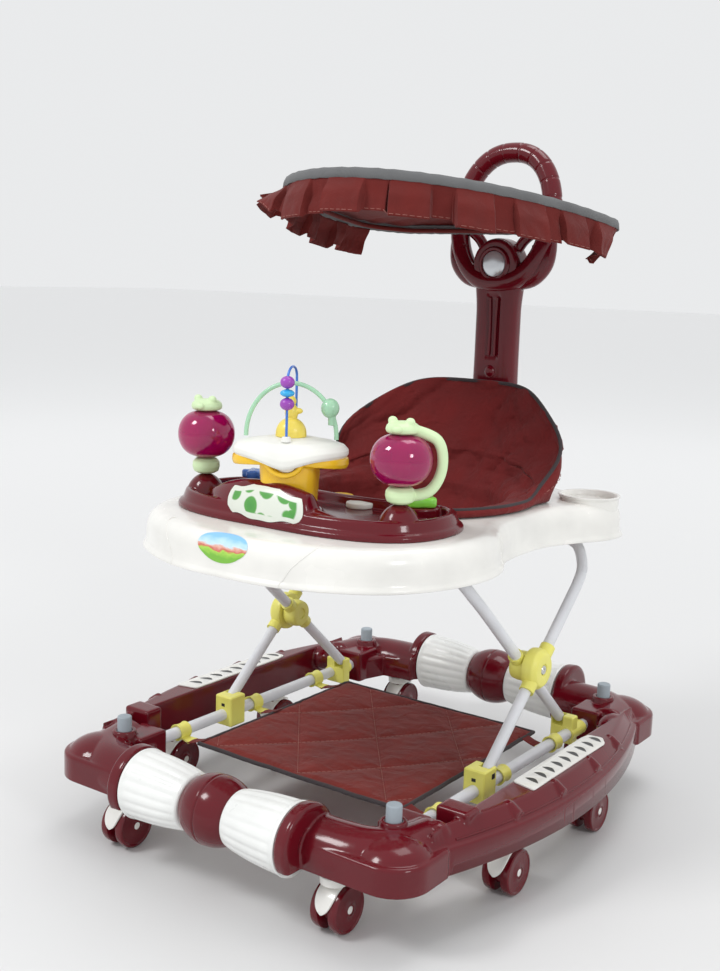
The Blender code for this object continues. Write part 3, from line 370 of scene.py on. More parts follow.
def rounded(points, radius, steps=3, closed=False):
    """A polyline whose corners are turned into short curves."""
    given = [Vector(p) for p in points]
    count = len(given)
    made = []
    for i, corner in enumerate(given):
        if not closed and i in (0, count - 1):
            made.append(corner)
            continue
        before, after = given[i - 1] - corner, given[(i + 1) % count] - corner
        reach = min(radius, before.length * 0.49, after.length * 0.49)
        start, end = corner + before.normalized() * reach, corner + after.normalized() * reach
        for step in range(steps + 1):
            t = step / steps
            made.append(start * (1 - t) ** 2 + corner * 2 * t * (1 - t) + end * t * t)
    return made


def lathe(profile, centre, axis="Z", steps=48, loop=False, radius_of=None):
    """A profile of (radius, height) points turned about an axis."""
    turn = Matrix.Translation(centre) @ AXES[axis]
    rings = []
    for point in profile:
        ring = []
        for i in range(steps):
            angle = 2 * math.pi * i / steps
            reach = max(point[0], 0.00001)
            if radius_of:
                reach = radius_of(reach, point[1], angle)
            ring.append(turn @ Vector((reach * math.cos(angle), reach * math.sin(angle), point[1])))
        rings.append(ring)
    return skin(rings, loop=loop)


def smooth_line(points, count, closed=False):
    """Points along a Catmull-Rom curve through the given ones."""
    given = [Vector(p) for p in points]
    last = len(given) if closed else len(given) - 1
    made = []
    for step in range(count if closed else count + 1):
        place = step * last / count
        index = min(int(place), last - 1)
        t = place - index
        if closed:
            a, b, c, d = (given[(index + k) % len(given)] for k in (-1, 0, 1, 2))
        else:
            a, b, c, d = (given[min(max(index + k, 0), len(given) - 1)] for k in (-1, 0, 1, 2))
        cubic = 3 * b - a - 3 * c + d
        made.append(0.5 * (2 * b + (c - a) * t + (2 * a - 5 * b + 4 * c - d) * t**2 + cubic * t**3))
    return made


def sweep(points, radius, sides=16, closed=False):
    """A tube along points. radius is a number or one per point."""
    line = [Vector(p) for p in points]
    count = len(line)
    radii = radius if hasattr(radius, "__len__") else [radius] * count
    rings = []
    side = None
    for i, point in enumerate(line):
        before = line[i - 1] if closed or i else line[i]
        after = line[(i + 1) % count] if closed or i < count - 1 else line[i]
        along = (after - before).normalized()
        if side is None:
            side = along.orthogonal().normalized()
        else:
            side = (side - along * side.dot(along)).normalized()
        up = side.cross(along)
        turns = [2 * math.pi * k / sides for k in range(sides)]
        rings.append([point + side * radii[i] * math.cos(a) + up * radii[i] * math.sin(a) for a in turns])
    return skin(rings, loop=closed)


def block(low, high, radius, steps=3):
    """A box with rounded edges."""
    shape = bmesh.new()
    bmesh.ops.create_cube(shape, size=1.0)
    size, middle = Vector(high) - Vector(low), (Vector(high) + Vector(low)) / 2
    bmesh.ops.transform(shape, matrix=Matrix.Translation(middle) @ Matrix.Diagonal((*size, 1)), verts=shape.verts)
    bmesh.ops.bevel(shape, geom=shape.edges[:], offset=radius, segments=steps, affect="EDGES", profile=0.5)
    return shape


def ellipsoid(centre, radii, sides=32):
    """A ball stretched along the axes."""
    shape = bmesh.new()
    bmesh.ops.create_uvsphere(shape, u_segments=sides, v_segments=sides // 2, radius=1.0)
    bmesh.ops.transform(shape, matrix=Matrix.Translation(centre) @ Matrix.Diagonal((*radii, 1)), verts=shape.verts)
    return shape


def inward(points, amount):
    """Each point of a plan outline, anticlockwise, moved inwards along its normal."""
    count = len(points)
    moved = []
    for i, point in enumerate(points):
        along = points[(i + 1) % count] - points[i - 1]
        moved.append(point + Vector((-along.y, along.x, 0.0)).normalized() * amount)
    return moved


def at_height(points, z):
    """A plan outline lifted to one height."""
    return [Vector((p.x, p.y, z)) for p in points]


def prism(outline, low, high, radius=0.001, steps=3):
    """A flat outline given a thickness, with rounded rims."""
    outline = [Vector((p[0], p[1], 0.0)) for p in outline]
    rings = []
    for turn, base, sign in ((range(steps + 1), low + radius, -1), (range(steps, -1, -1), high - radius, 1)):
        for step in turn:
            angle = math.pi / 2 * (1 - step / steps)
            edge = inward(outline, radius * (1 - math.cos(angle)))
            rings.append(at_height(edge, base + sign * radius * math.sin(angle)))
    return skin(rings)


def fused(shape, voxel, smooth_steps=4, keep=0.5):
    """One skin round overlapping closed shapes, with its corners softened into fillets."""
    thing = linked("fused", mesh_of("fused", shape))
    remesh = thing.modifiers.new("skin", "REMESH")
    remesh.mode = "VOXEL"
    remesh.voxel_size = voxel * 1.0
    soften = thing.modifiers.new("fillet", "SMOOTH")
    soften.factor = 0.5
    soften.iterations = smooth_steps
    thing.modifiers.new("thin", "DECIMATE").ratio = keep
    return settled(thing)


def cut_below(form, z, cap=True):
    """Remove what is below a height and close the cut, or leave it open."""
    cut = bmesh.ops.bisect_plane(form, geom=form.verts[:] + form.edges[:] + form.faces[:],
                                 plane_co=(0, 0, z), plane_no=(0, 0, -1), clear_outer=True)
    if cap:
        edges = [e for e in cut["geom_cut"] if isinstance(e, bmesh.types.BMEdge)]
        bmesh.ops.holes_fill(form, edges=edges, sides=0)


def from_node(name):
    """A copy of a CAD node's shape, welded."""
    shape = bmesh.new()
    shape.from_mesh(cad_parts[name].data)
    bmesh.ops.remove_doubles(shape, verts=shape.verts, dist=0.00002)
    return shape


def stitches(name, dashes, radius, body):
    """Thread dashes, each given by its points."""
    threads = [sweep(dash, radius, 5) for dash in dashes]
    piece(name, joined(*threads), "stitch_thread", body, sharp=None)


def uv_patch(name, look, columns, rows, point_at):
    """A printed sticker: point_at gives its surface for u and v from -1 to 1."""
    shape = bmesh.new()
    layer = shape.loops.layers.uv.new("flat")
    grid = []
    for i in range(rows + 1):
        v = 2 * i / rows - 1
        across = [2 * j / columns - 1 for j in range(columns + 1)]
        grid.append([(shape.verts.new(point_at(u, v)), (u * 0.5 + 0.5, v * 0.5 + 0.5)) for u in across])
    for lower, upper in zip(grid, grid[1:]):
        for j in range(columns):
            corners = (lower[j], lower[j + 1], upper[j + 1], upper[j])
            face = shape.faces.new([c[0] for c in corners])
            for loop, corner in zip(face.loops, corners):
                loop[layer].uv = corner[1]
    piece(name, shape, look, "tray", sharp=None)


# Base --------------------------------------------------------------------------------------------
RAIL_INNER_X = 0.257
RAIL_END_X = 0.270
RAIL_BULGE = 0.050
RAIL_HALF_LENGTH = 0.266
RAIL_TOP_Z = 0.1255
LEDGE_Z = 0.107
ROLLER_Y = 0.328
ROLLER_Z = 0.099
PEG_PLACE = (0.2125, 0.272)
MOULDING_FLOOR = 0.0753
FLUTES = 20
BUMP_PLACES = (-0.138, -0.047, 0.050, 0.138)
STRIP_START = -0.088
STRIP_END = 0.116
STRIP_INNER_X = 0.2600
STRIP_OUTER_X = 0.2915
SLOTS = 9


def rail_edge(y):
    """Outer edge of the bowed rail at one place along it."""
    return RAIL_END_X + RAIL_BULGE * (1 - (y / RAIL_HALF_LENGTH) ** 2)


def rail_form():
    """One side rail: straight inside, bowed outside, with a ledge and a slope up to its flat top."""
    rings = []
    for outer_inset, inner_inset, z in (
        (0.0, 0.0, 0.0700), (0.0, 0.0, 0.1046), (0.0010, 0.0, 0.1066), (0.0030, 0.0, 0.1074), (0.0052, 0.0, 0.1077),
        (0.0062, 0.0, 0.1086), (0.0200, 0.0, 0.1238), (0.0222, 0.0004, 0.1251), (0.0250, 0.0016, 0.1256),
    ):
        inner = RAIL_INNER_X + inner_inset
        ring = [Vector((inner, -RAIL_HALF_LENGTH, z))]
        for y in np.linspace(-RAIL_HALF_LENGTH, RAIL_HALF_LENGTH, 81):
            ring.append(Vector((max(rail_edge(y) - outer_inset, inner + 0.003), y, z)))
        rings.append(ring + [Vector((inner, RAIL_HALF_LENGTH, z))])
    return skin(rings)


def corner_skirt(end):
    """The vertical skirt round one corner cap with the cap's low dome on top of it."""
    cx, cy, radius, start = 0.231, 0.297, 0.046, 0.1315
    corner = [(cx + radius * math.cos(a), cy + radius * math.sin(a)) for a in np.linspace(math.pi / 2, 0, 25)]
    plan = [(start, cy + radius), *corner, (cx + radius, 0.2575), (cx + radius - 0.010, 0.240), (0.186, 0.240),
            (0.176, 0.272), (start, 0.279)]
    outline = [(x, end * y) for x, y in plan]
    if end > 0:
        outline = outline[::-1]
    skirt = prism(outline, 0.0700, LEDGE_Z + 0.0012, 0.0045, 4)
    return joined(skirt, ellipsoid((0.2300, end * 0.2955, 0.0980), (0.0445, 0.0445, 0.0275), 48))


def wedge(y):
    """A half-cone that stands on the rail's slope and fades towards the inside."""
    x = rail_edge(y) - 0.0072
    rings = []
    for share in (0.0, 0.10, 0.35, 0.7, 1.0):
        radius = 0.0085 * math.sqrt(max(0.0, 1 - share)) + 0.0008
        centre = Vector((x - 0.0185 * share, y, LEDGE_Z + 0.0022 + 0.0180 * share))
        rings.append([
            centre + Vector((0, radius * 0.95 * math.cos(a), radius * math.sin(a)))
            for a in np.linspace(0, 2 * math.pi, 32, endpoint=False)
        ])
    return skin(rings)


def collar_ring(end):
    """The thick ring round a roller's end, flat underneath."""
    profile = rounded([(0.020, 0.1226), (0.0452, 0.1226), (0.0462, 0.1372), (0.0400, 0.1396), (0.020, 0.1396)],
                      0.0028, 4, closed=True)
    ring = lathe(profile, (0, end * ROLLER_Y, ROLLER_Z), "X", steps=80, loop=True)
    cut_below(ring, MOULDING_FLOOR + 0.0002)
    return ring


def hollowed(form, holes):
    """Open a fused form underneath, with a hole round each upright pin."""
    cut_below(form, MOULDING_FLOOR, cap=False)
    gone = []
    for face in form.faces:
        middle = face.calc_center_median()
        if middle.z > 0.10 and any(math.hypot(middle.x - x, middle.y - y) < radius for x, y, radius in holes):
            gone.append(face)
    bmesh.ops.delete(form, geom=gone, context="FACES")
    bmesh.ops.recalc_face_normals(form, faces=form.faces)
    return form


def side_mouldings():
    """Each side's bumper moulding: rail, corner caps, elbows and raised details as one skin, open below."""
    extras = [rail_form()] + [wedge(y) for y in BUMP_PLACES]
    for end in (-1, 1):
        route = [(0.1265, 0.3095), (0.165, 0.309), (0.200, 0.303), (0.2265, 0.283), (0.236, 0.256), (0.240, 0.236)]
        bend = smooth_line([(x, end * y, 0.0905) for x, y in route], 30)
        low, high = sorted((end * 0.2195, end * 0.2690))
        collar = rounded([(0.0, 0.098), (0.0178, 0.098), (0.0160, 0.1255), (0.0, 0.1255)], 0.002)
        extras += [
            corner_skirt(end),
            collar_ring(end),
            sweep(bend, 0.036, sides=56),
            ellipsoid(bend[-1], (0.036, 0.012, 0.036), 48),
            lathe([(0.0, 0.1226), (0.0440, 0.1226), (0.0440, 0.138), (0.0, 0.138)],
                  (0, end * ROLLER_Y, ROLLER_Z), "X", 64),
            block((0.1868, low, 0.0700), (0.2317, high, 0.1210), 0.0035, 4),
            lathe(collar, (PEG_PLACE[0], end * PEG_PLACE[1], 0)),
        ]
    extras += [
        ellipsoid((0.2494, -0.2405, 0.108), (0.0195, 0.0170, 0.0205), 40),
        ellipsoid((0.2530, 0.2130, 0.106), (0.0190, 0.0280, 0.0215), 40),
        block((0.230, -0.214, 0.0700), (0.273, -0.185, 0.1325), 0.0035, 4),
    ]
    form = fused(joined(*extras), 0.0015, 3, 0.45)
    form = hollowed(form, [(PEG_PLACE[0], end * PEG_PLACE[1], 0.0108) for end in (-1, 1)])
    boss = [(0.0054, 0.0768), (0.0088, 0.0768), (0.0088, 0.112), (0.0054, 0.112)]
    places = ((0.167, -0.321), (0.167, 0.301), (0.271, -0.122), (0.271, 0.102))
    posts = joined(*(lathe(boss, (x, y, 0), steps=32, loop=True) for x, y in places))
    shells = ((mirrored(form), mirrored(posts)), (form, posts))
    for (side_name, _), (shell, bosses) in zip(SIDES, shells):
        bumper = piece(f"{side_name}_bumper", shell, "maroon_plastic", "base", [f"{side_name}_side_moulding"],
                       sharp=None, recalc=False)
        thicken(bumper, 0.0024)
        piece(f"{side_name}_caster_bosses", bosses, "maroon_plastic", "base")


def ledge_lines():
    """The thin raised line that runs along the outer ledge of each rail."""
    line = [(rail_edge(y) - 0.0085, y, LEDGE_Z + 0.0040) for y in np.linspace(-0.236, 0.236, 60)]
    pair("ledge_line", sweep(line, 0.0013, sides=10), "maroon_plastic", "base")


def crescent(x, y):
    """A slot with one bowed and one straighter side, slanted across the strip."""
    across = np.linspace(-1, 1, 11)
    made = [(x + 0.0112 * t, y + 0.0088 * (1 - t * t) - 0.0032 * t) for t in across]
    return made + [(x + 0.0112 * t, y - 0.0012 * (1 - t * t) - 0.0032 * t) for t in across[-2:0:-1]]


def slot_shade_plug(side, x, y):
    """A black sheet of painted shade at the bottom of one grip slot, just under the strip's face."""
    outline = [(side * px, py) for px, py in crescent(x, y)]
    if side < 0:
        outline = outline[::-1]
    return prism(outline, RAIL_TOP_Z + 0.0002, RAIL_TOP_Z + 0.0019, 0.0001, 1)


def grip_strips():
    """A white strip with nine slots on top of each rail: pointed in front and rounded behind."""
    outline = rounded([
        (STRIP_OUTER_X, STRIP_START - 0.004), (STRIP_OUTER_X + 0.001, STRIP_END - 0.012),
        (STRIP_OUTER_X - 0.010, STRIP_END + 0.004), (STRIP_INNER_X + 0.003, STRIP_END + 0.002),
        (STRIP_INNER_X, STRIP_END - 0.014), (STRIP_INNER_X, STRIP_START + 0.003),
    ], 0.004, 4, closed=True)
    middle = (STRIP_INNER_X + STRIP_OUTER_X) / 2 + 0.001
    places = np.linspace(STRIP_START + 0.018, STRIP_END - 0.010, SLOTS)
    for side_name, side in SIDES:
        data = bpy.data.curves.new("strip", "CURVE")
        data.dimensions = "2D"
        data.fill_mode = "BOTH"
        data.extrude = 0.0006
        data.bevel_depth = 0.0004
        data.bevel_resolution = 1
        for loop in [outline] + [crescent(middle, y) for y in places]:
            line = data.splines.new("POLY")
            line.points.add(len(loop) - 1)
            for slot, point in zip(line.points, loop):
                slot.co = (side * point[0], point[1], 0, 1)
            line.use_cyclic_u = True
        shape = settled(linked("strip", data))
        bmesh.ops.remove_doubles(shape, verts=shape.verts, dist=0.00001)
        bmesh.ops.translate(shape, vec=(0, 0, RAIL_TOP_Z + 0.0012), verts=shape.verts)
        piece(f"{side_name}_grip_strip", shape, "white_plastic", "base")
        # Black sheets of painted shade fill the slots, over the maroon rail top.
        shade_plugs = [slot_shade_plug(side, middle, y) for y in places]
        piece(f"{side_name}_slot_shade_floors", joined(*shade_plugs), "black_plastic", "base")


def fluted(radius, height, angle):
    """Shallow wide flutes that fade out near a barrel's two lips."""
    share = min(1.0, max(0.0, (abs(height) - 0.036) / 0.008)) * min(1.0, max(0.0, (0.1165 - abs(height)) / 0.004))
    return radius - 0.0012 * share * (0.5 - 0.5 * math.cos(FLUTES * angle)) ** 2


def rollers():
    """Fluted white barrels with rolled lips, and the glossy ball with its seam between them."""
    for name, end in (("front", -1), ("rear", 1)):
        centre = (0, end * ROLLER_Y, ROLLER_Z)
        barrels = []
        for side in (-1, 1):
            run = [(0.012, 0.0335), (0.0315, 0.0335), (0.0345, 0.0352)]
            for t in np.linspace(0, 1, 14):
                run.append((0.0350 + 0.0080 * t ** 0.75 + 0.0012 * math.sin(math.pi * t), 0.037 + 0.079 * t))
            run += [(0.0438, 0.1172), (0.0440, 0.1190), (0.0434, 0.1208), (0.0410, 0.1214), (0.012, 0.1214)]
            barrels.append(lathe([(r, side * h) for r, h in run], centre, "X", steps=160, radius_of=fluted))
        core = lathe([(0.009, -0.1345), (0.009, 0.1345)], centre, "X", steps=24)
        piece(f"{name}_barrels", joined(*barrels, core), "white_fluted", "base", [f"{name}_roller_barrels"], sharp=50)
        ball = []
        for a in np.radians(np.linspace(-47, 47, 49)):
            seam = 0.0011 if abs(a) < 0.02 else 0.0
            ball.append((0.0425 * math.cos(a) ** 0.9 - seam, 0.0470 * math.sin(a)))
        ball = [(0.0093, ball[0][1])] + ball + [(0.0093, ball[-1][1])]
        piece(f"{name}_ball", lathe(ball, centre, "X", steps=96), "maroon_plastic", "base",
              [f"{name}_roller_ball"], sharp=50)


def stoppers():
    """Grey rubber pegs with a softened rim and a shallow dish on top."""
    for end_name in ("front", "rear"):
        for side_name, _ in SIDES:
            name = f"{end_name}_{side_name}_stopper"
            low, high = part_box(name)
            place = ((low.x + high.x) / 2, (low.y + high.y) / 2, 0)
            corner = [(0.0, low.z), (0.0088, low.z), (0.0094, low.z + 0.001), (0.0093, high.z - 0.002),
                      (0.0086, high.z - 0.0006), (0.0074, high.z), (0.0050, high.z - 0.0003), (0.0, high.z - 0.0004)]
            piece(f"{name}_peg", lathe(corner, place, steps=40), "grey_rubber", name, [name], sharp=50)
            collar = rounded([(0.0100, 0.1225), (0.0100, 0.1298), (0.0150, 0.1298), (0.0168, 0.1225)], 0.0018, 4)
            piece(f"{name}_collar", lathe(collar, place, loop=True), "maroon_plastic", "base")


# Tubes, clips, feet and hubs ---------------------------------------------------------------------
TUBE_X = 0.207
TUBE_Z = 0.100
CLIP_PLACES = (-0.172, -0.020, 0.125)
HUB_Y = 0.055
HUB_Z = 0.224
FOOT_REACH = 0.117
CROSSBAR_REACH = 0.148
CROSSBAR_Z = 0.372
PIVOT_Z = 0.122
LEG_RADIUS = 0.0075
FIXED_LEG_X = 0.1915
SLIDING_LEG_X = 0.2115


def side_tubes():
    """The two straight tubes along the inside of the base."""
    for side_name, side in SIDES:
        low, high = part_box(f"{side_name}_side_tube")
        rod = rounded([(0.0, low.y), (0.008, low.y), (0.008, high.y), (0.0, high.y)], 0.001)
        piece(f"{side_name}_tube", lathe(rod, (side * TUBE_X, 0, TUBE_Z), "Y", steps=40), "grey_tube", "base",
              [f"{side_name}_side_tube"], sharp=60)


def mat_clips():
    """Yellow rings on the side tubes that hold the mat's maroon straps."""
    ring = rounded([(0.0083, -0.0085), (0.0083, 0.0085), (0.0118, 0.0100), (0.0104, 0.0040), (0.0104, -0.0040),
                    (0.0118, -0.0100)], 0.0015, closed=True)
    for side_name, side in SIDES:
        for number, y in enumerate(CLIP_PLACES):
            band = lathe(ring, (side * TUBE_X, y, TUBE_Z), "Y", steps=40, loop=True)
            tab = []
            for t in np.linspace(0, 1, 7):
                half = 0.0060 + 0.0035 * t * t
                x, z = side * (TUBE_X - 0.006 - 0.016 * t), TUBE_Z - 0.0075 - 0.0015 * t
                tab.append([Vector((x, y + half * u, z + 0.0014 * v))
                            for u, v in ((-1, -1), (1, -1), (1, 1), (-1, 1))])
            piece(f"{side_name}_clip_{number}", joined(band, skin(tab)), "lemon_plastic", "base", sharp=45)
            strap = []
            for t in np.linspace(0, 1, 9):
                x, z = side * (TUBE_X - 0.017 - 0.032 * t), 0.0912 + 0.0085 * t ** 1.5
                strap.append([Vector((x, y + 0.0105 * u, z + 0.0007 * v + 0.0006 * math.sin(9 * u + 5 * t)))
                              for u, v in ((-1, -1), (0, -1), (1, -1), (1, 1), (0, 1), (-1, 1))])
            piece(f"{side_name}_strap_{number}", skin(strap), "maroon_fabric", "base", sharp=50, subdivide=1)


def foot_block(name, body, side, front):
    """A yellow block on the side tube, forked round the leg's end. A front one has a black catch and pin head."""
    form = fused(from_node(name), 0.0006, 2)
    low = Vector([min(v.co[k] for v in form.verts) for k in range(3)])
    high = Vector([max(v.co[k] for v in form.verts) for k in range(3)])
    middle = (low + high) / 2
    shrink = (0.90, 0.80, 0.88) if front else (0.94, 0.80, 0.80)
    for vertex in form.verts:
        for k, centre in enumerate((middle.x, middle.y, TUBE_Z)):
            vertex.co[k] = centre + (vertex.co[k] - centre) * shrink[k]
    piece(f"{name}_block", form, "lemon_plastic", body, [name], sharp=None, recalc=False)
    if not front:
        return
    outer = middle.x + ((high if side > 0 else low).x - middle.x) * shrink[0]
    near, far = sorted((outer - side * 0.0006, outer + side * 0.0008))
    button = block((near, -0.0690, 0.1130), (far, -0.0615, 0.1200), 0.0007, 3)
    piece(f"{name}_button", button, "black_plastic", body)
    face_y = middle.y + (low.y - middle.y) * shrink[1]
    mark = block((middle.x - 0.0030, face_y - 0.0005, 0.1120), (middle.x + 0.0030, face_y + 0.0006, 0.1165), 0.0005, 2)
    piece(f"{name}_slot", mark, "black_plastic", body)


def leg_tube(node_name, body, x, heading):
    """One bent leg frame: both legs and the bar that joins them under the tray."""
    foot = (x, HUB_Y - heading * FOOT_REACH, PIVOT_Z)
    shoulder = (x, HUB_Y + heading * 0.105, HUB_Z + 0.0915)
    bar_y = HUB_Y + heading * CROSSBAR_REACH
    bend = smooth_line([shoulder, (x - 0.004, HUB_Y + heading * 0.128, HUB_Z + 0.114),
                        (x - 0.022, bar_y - heading * 0.004, CROSSBAR_Z - 0.008), (x - 0.055, bar_y, CROSSBAR_Z)], 22)
    half = [foot, (x, HUB_Y, HUB_Z), *bend]
    other = [(-p[0], p[1], p[2]) for p in half]
    tube = sweep(half + other[::-1], LEG_RADIUS, sides=28)
    ends = [ellipsoid((s * x, foot[1], PIVOT_Z), (LEG_RADIUS,) * 3, 24) for s in (-1, 1)]
    piece(f"{node_name}_tube", joined(tube, *ends), "grey_tube", body, [node_name], sharp=60)


def hubs():
    """Two-piece yellow drums round the crossing legs, with a socket screw in the outer face."""
    lean = math.atan2(HUB_Z - PIVOT_Z, FOOT_REACH)
    screw = ((0.0, 0.0), (0.0062, 0.0), (0.0062, 0.0012), (0.0054, 0.0020), (0.0026, 0.0021), (0.0022, 0.0008),
             (0.0, 0.0008))
    for side_name, side in SIDES:
        for part, body, radius, face_radius, tilt in (("outer", "sliding_legs", 0.0275, 0.0215, lean),
                                                      ("inner", "fixed_legs", 0.0200, 0.0180, -lean)):
            name = f"{side_name}_hub_{part}"
            low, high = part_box(name)
            face, back = (high.x, low.x) if (side > 0) == (part == "outer") else (low.x, high.x)
            deep = face - back
            profile = rounded([
                (0.0, back), (radius - 0.0012, back), (radius, back + deep * 0.30),
                (radius - 0.0005, back + deep * 0.72), (face_radius, face), (0.0082, face),
                (0.0076, face - deep * 0.10), (0.0, face - deep * 0.10),
            ], 0.0022, 4)
            parts = [lathe(profile, (0, HUB_Y, HUB_Z), "X", steps=72)]
            along = Vector((0, math.cos(tilt), math.sin(tilt)))
            for band in (-1, 1):
                middle = Vector(((face + back) / 2, HUB_Y, HUB_Z)) + along * band * (radius + 0.002)
                parts.append(sweep([middle - along * 0.007, middle + along * 0.007], 0.0100, sides=32))
            piece(f"{name}_drum", joined(*parts), "lemon_plastic", body, [name], sharp=35)
            if part == "outer":
                head = lathe([(r, side * h) for r, h in screw], (face - side * 0.0022, HUB_Y, HUB_Z), "X", steps=32)
                piece(f"{name}_screw", head, "steel", body, sharp=30)


# Casters -----------------------------------------------------------------------------------------
WHEEL_RADIUS = 0.0285
CASTERS = [f"{a}_{b}" for a in ("front", "rear") for b in ("left", "right")]
CASTERS += [f"{a}_{b}" for a in ("left", "right") for b in ("front", "rear")]


def casters():
    """Twin maroon wheels with dished faces, a maroon centre and a white fender over their front."""
    face = ((0.0028, 0.0073), (0.0270, 0.0073), (0.0280, 0.0078), (0.0284, 0.0100), (0.0284, 0.0150),
            (0.0278, 0.0170), (0.0264, 0.0182), (0.0248, 0.0182), (0.0236, 0.0172), (0.0150, 0.0164),
            (0.0080, 0.0170), (0.0064, 0.0180), (0.0028, 0.0180))
    cap = ((0.0, 0.0150), (0.0046, 0.0150), (0.0046, 0.0181), (0.0036, 0.0185), (0.0, 0.0185))
    centre = ((0.0, -0.0064), (0.0175, -0.0064), (0.0190, -0.0050), (0.0190, 0.0050), (0.0175, 0.0064), (0.0, 0.0064))
    plate = rounded([(0.0, 0.0592), (0.0165, 0.0592), (0.0172, 0.0697), (0.0, 0.0697)], 0.0012)
    for place in CASTERS:
        low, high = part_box(f"{place}_wheels")
        x, y = (low.x + high.x) / 2, (low.y + high.y) / 2
        middle = (x, y, WHEEL_RADIUS)
        wheels = [lathe([(r, side * h) for r, h in face], middle, "X", 64, loop=True) for side in (-1, 1)]
        caps = [lathe([(r, side * h) for r, h in cap], middle, "X", 28) for side in (-1, 1)]
        axle = lathe([(0.0028, -0.0150), (0.0028, 0.0150)], middle, "X", 20)
        wheel_body = f"{place}_wheels"
        piece(f"{place}_wheel_pair", joined(*wheels, axle), "maroon_plastic", wheel_body, [wheel_body], sharp=32)
        piece(f"{place}_wheel_caps", joined(*caps), "white_plastic", wheel_body, sharp=40)
        stem_y = y - 0.010
        fork = joined(lathe(centre, (x, y, WHEEL_RADIUS + 0.001), "X", 56),
                      block((x - 0.0064, stem_y - 0.006, 0.040), (x + 0.0064, y + 0.010, 0.0640), 0.002))
        piece(f"{place}_fork", fork, "maroon_plastic", f"{place}_swivel", sharp=40)
        fender = []
        for degrees in np.linspace(64, 178, 26):
            angle = math.radians(degrees)
            share = (degrees - 64) / 114
            half = 0.0128 * math.sqrt(max(0.02, 1 - max(0.0, (share - 0.55) / 0.45) ** 2))
            fender.append([
                Vector((x + half * wide, y + reach * math.cos(angle), WHEEL_RADIUS + reach * math.sin(angle)))
                for reach, wide in ((0.0293, -1), (0.0293, 1), (0.0312, 0.96), (0.0318, 0.5), (0.0318, -0.5),
                                    (0.0312, -0.96))
            ])
        stem_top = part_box(f"{place}_caster_housing")[1].z
        upper = [skin(fender), lathe(plate, (x, stem_y + 0.003, 0)),
                 lathe([(0.0049, 0.066), (0.0049, stem_top)], (x, stem_y, 0), "Z", 24)]
        piece(f"{place}_fender", joined(*upper), "white_plastic", f"{place}_swivel", [f"{place}_caster_housing"],
              sharp=45)


# Foot mat ----------------------------------------------------------------------------------------
MAT_LOW = (-0.163, -0.183)
MAT_HIGH = (0.163, 0.153)
MAT_TOP = 0.0985
QUILT_PITCH = 0.108
QUILT_SLANTS = (0.78, -0.78)


def quilt_lines(x, y):
    """Distance from a point to the nearest line of the diamond stitching."""
    best = 1.0
    for slant in QUILT_SLANTS:
        across = (x + slant * y) / math.hypot(1, slant)
        best = min(best, abs((across + QUILT_PITCH / 2) % QUILT_PITCH - QUILT_PITCH / 2))
    return best


def mat_sag(x, y):
    """How far the mat hangs under its own weight."""
    return -0.006 * (1 - (x / 0.17) ** 2) * (1 - ((y + 0.015) / 0.18) ** 2)


def rim_of(rows):
    """The outer loop of a grid of points."""
    return rows[0] + [row[-1] for row in rows[1:]] + rows[-1][-2::-1] + [row[0] for row in rows[-2:0:-1]]


def foot_mat():
    """A quilted mat: diamond stitching pulls a padded cloth down, and a dark piping closes its edge."""
    across, along = 112, 116
    shape = bmesh.new()
    rows_top, rows_low = [], []
    for i in range(along + 1):
        y = MAT_LOW[1] + (MAT_HIGH[1] - MAT_LOW[1]) * i / along
        upper, lower = [], []
        for j in range(across + 1):
            x = MAT_LOW[0] + (MAT_HIGH[0] - MAT_LOW[0]) * j / across
            edge = min(x - MAT_LOW[0], MAT_HIGH[0] - x, y - MAT_LOW[1], MAT_HIGH[1] - y)
            sag = mat_sag(x, y)
            swell = 0.0042 * (1 - math.exp(-quilt_lines(x, y) / 0.011)) * min(1.0, edge / 0.010)
            crease = noise.noise(Vector((x * 38, y * 95, 1.7))) * 0.0007
            crease += noise.noise(Vector((x * 90, y * 40, 4))) * 0.0004
            upper.append(shape.verts.new((x, y, MAT_TOP - 0.0014 + sag + swell + crease)))
            lower.append(shape.verts.new((x, y, MAT_TOP - 0.0034 + sag - swell * 0.3)))
        rows_top.append(upper)
        rows_low.append(lower)
    for rows, flip in ((rows_top, False), (rows_low, True)):
        for i in range(along):
            for j in range(across):
                corners = [rows[i][j], rows[i][j + 1], rows[i + 1][j + 1], rows[i + 1][j]]
                shape.faces.new(corners[::-1] if flip else corners)
    rim_top, rim_low = rim_of(rows_top), rim_of(rows_low)
    for i in range(len(rim_top)):
        j = (i + 1) % len(rim_top)
        shape.faces.new((rim_top[j], rim_top[i], rim_low[i], rim_low[j]))
    piping = [v.co - Vector((0, 0, 0.0010)) for v in rim_top[::3]]
    mat = piece("quilted_mat", shape, "mat_fabric", "base", ["foot_mat"], sharp=None)
    piece("mat_piping", sweep(piping, 0.0029, sides=12, closed=True), "dark_piping", "base")
    dashes = []
    for slant in QUILT_SLANTS:
        length = math.hypot(1, slant)
        for offset in (line * QUILT_PITCH for line in range(-5, 6)):
            for start in (-0.30 + 0.60 * number / 90 for number in range(90)):
                ends = [(offset / length - slant * s / length, offset * slant / length + s / length)
                        for s in (start + 0.0008, start + 0.0052)]
                if all(MAT_LOW[0] + 0.005 < x < MAT_HIGH[0] - 0.005 and MAT_LOW[1] + 0.005 < y < MAT_HIGH[1] - 0.005
                       for x, y in ends):
                    dashes.append([(x, y, MAT_TOP - 0.0008 + mat_sag(x, y)) for x, y in ends])
    stitches("mat_stitches", dashes, 0.00045, "base")


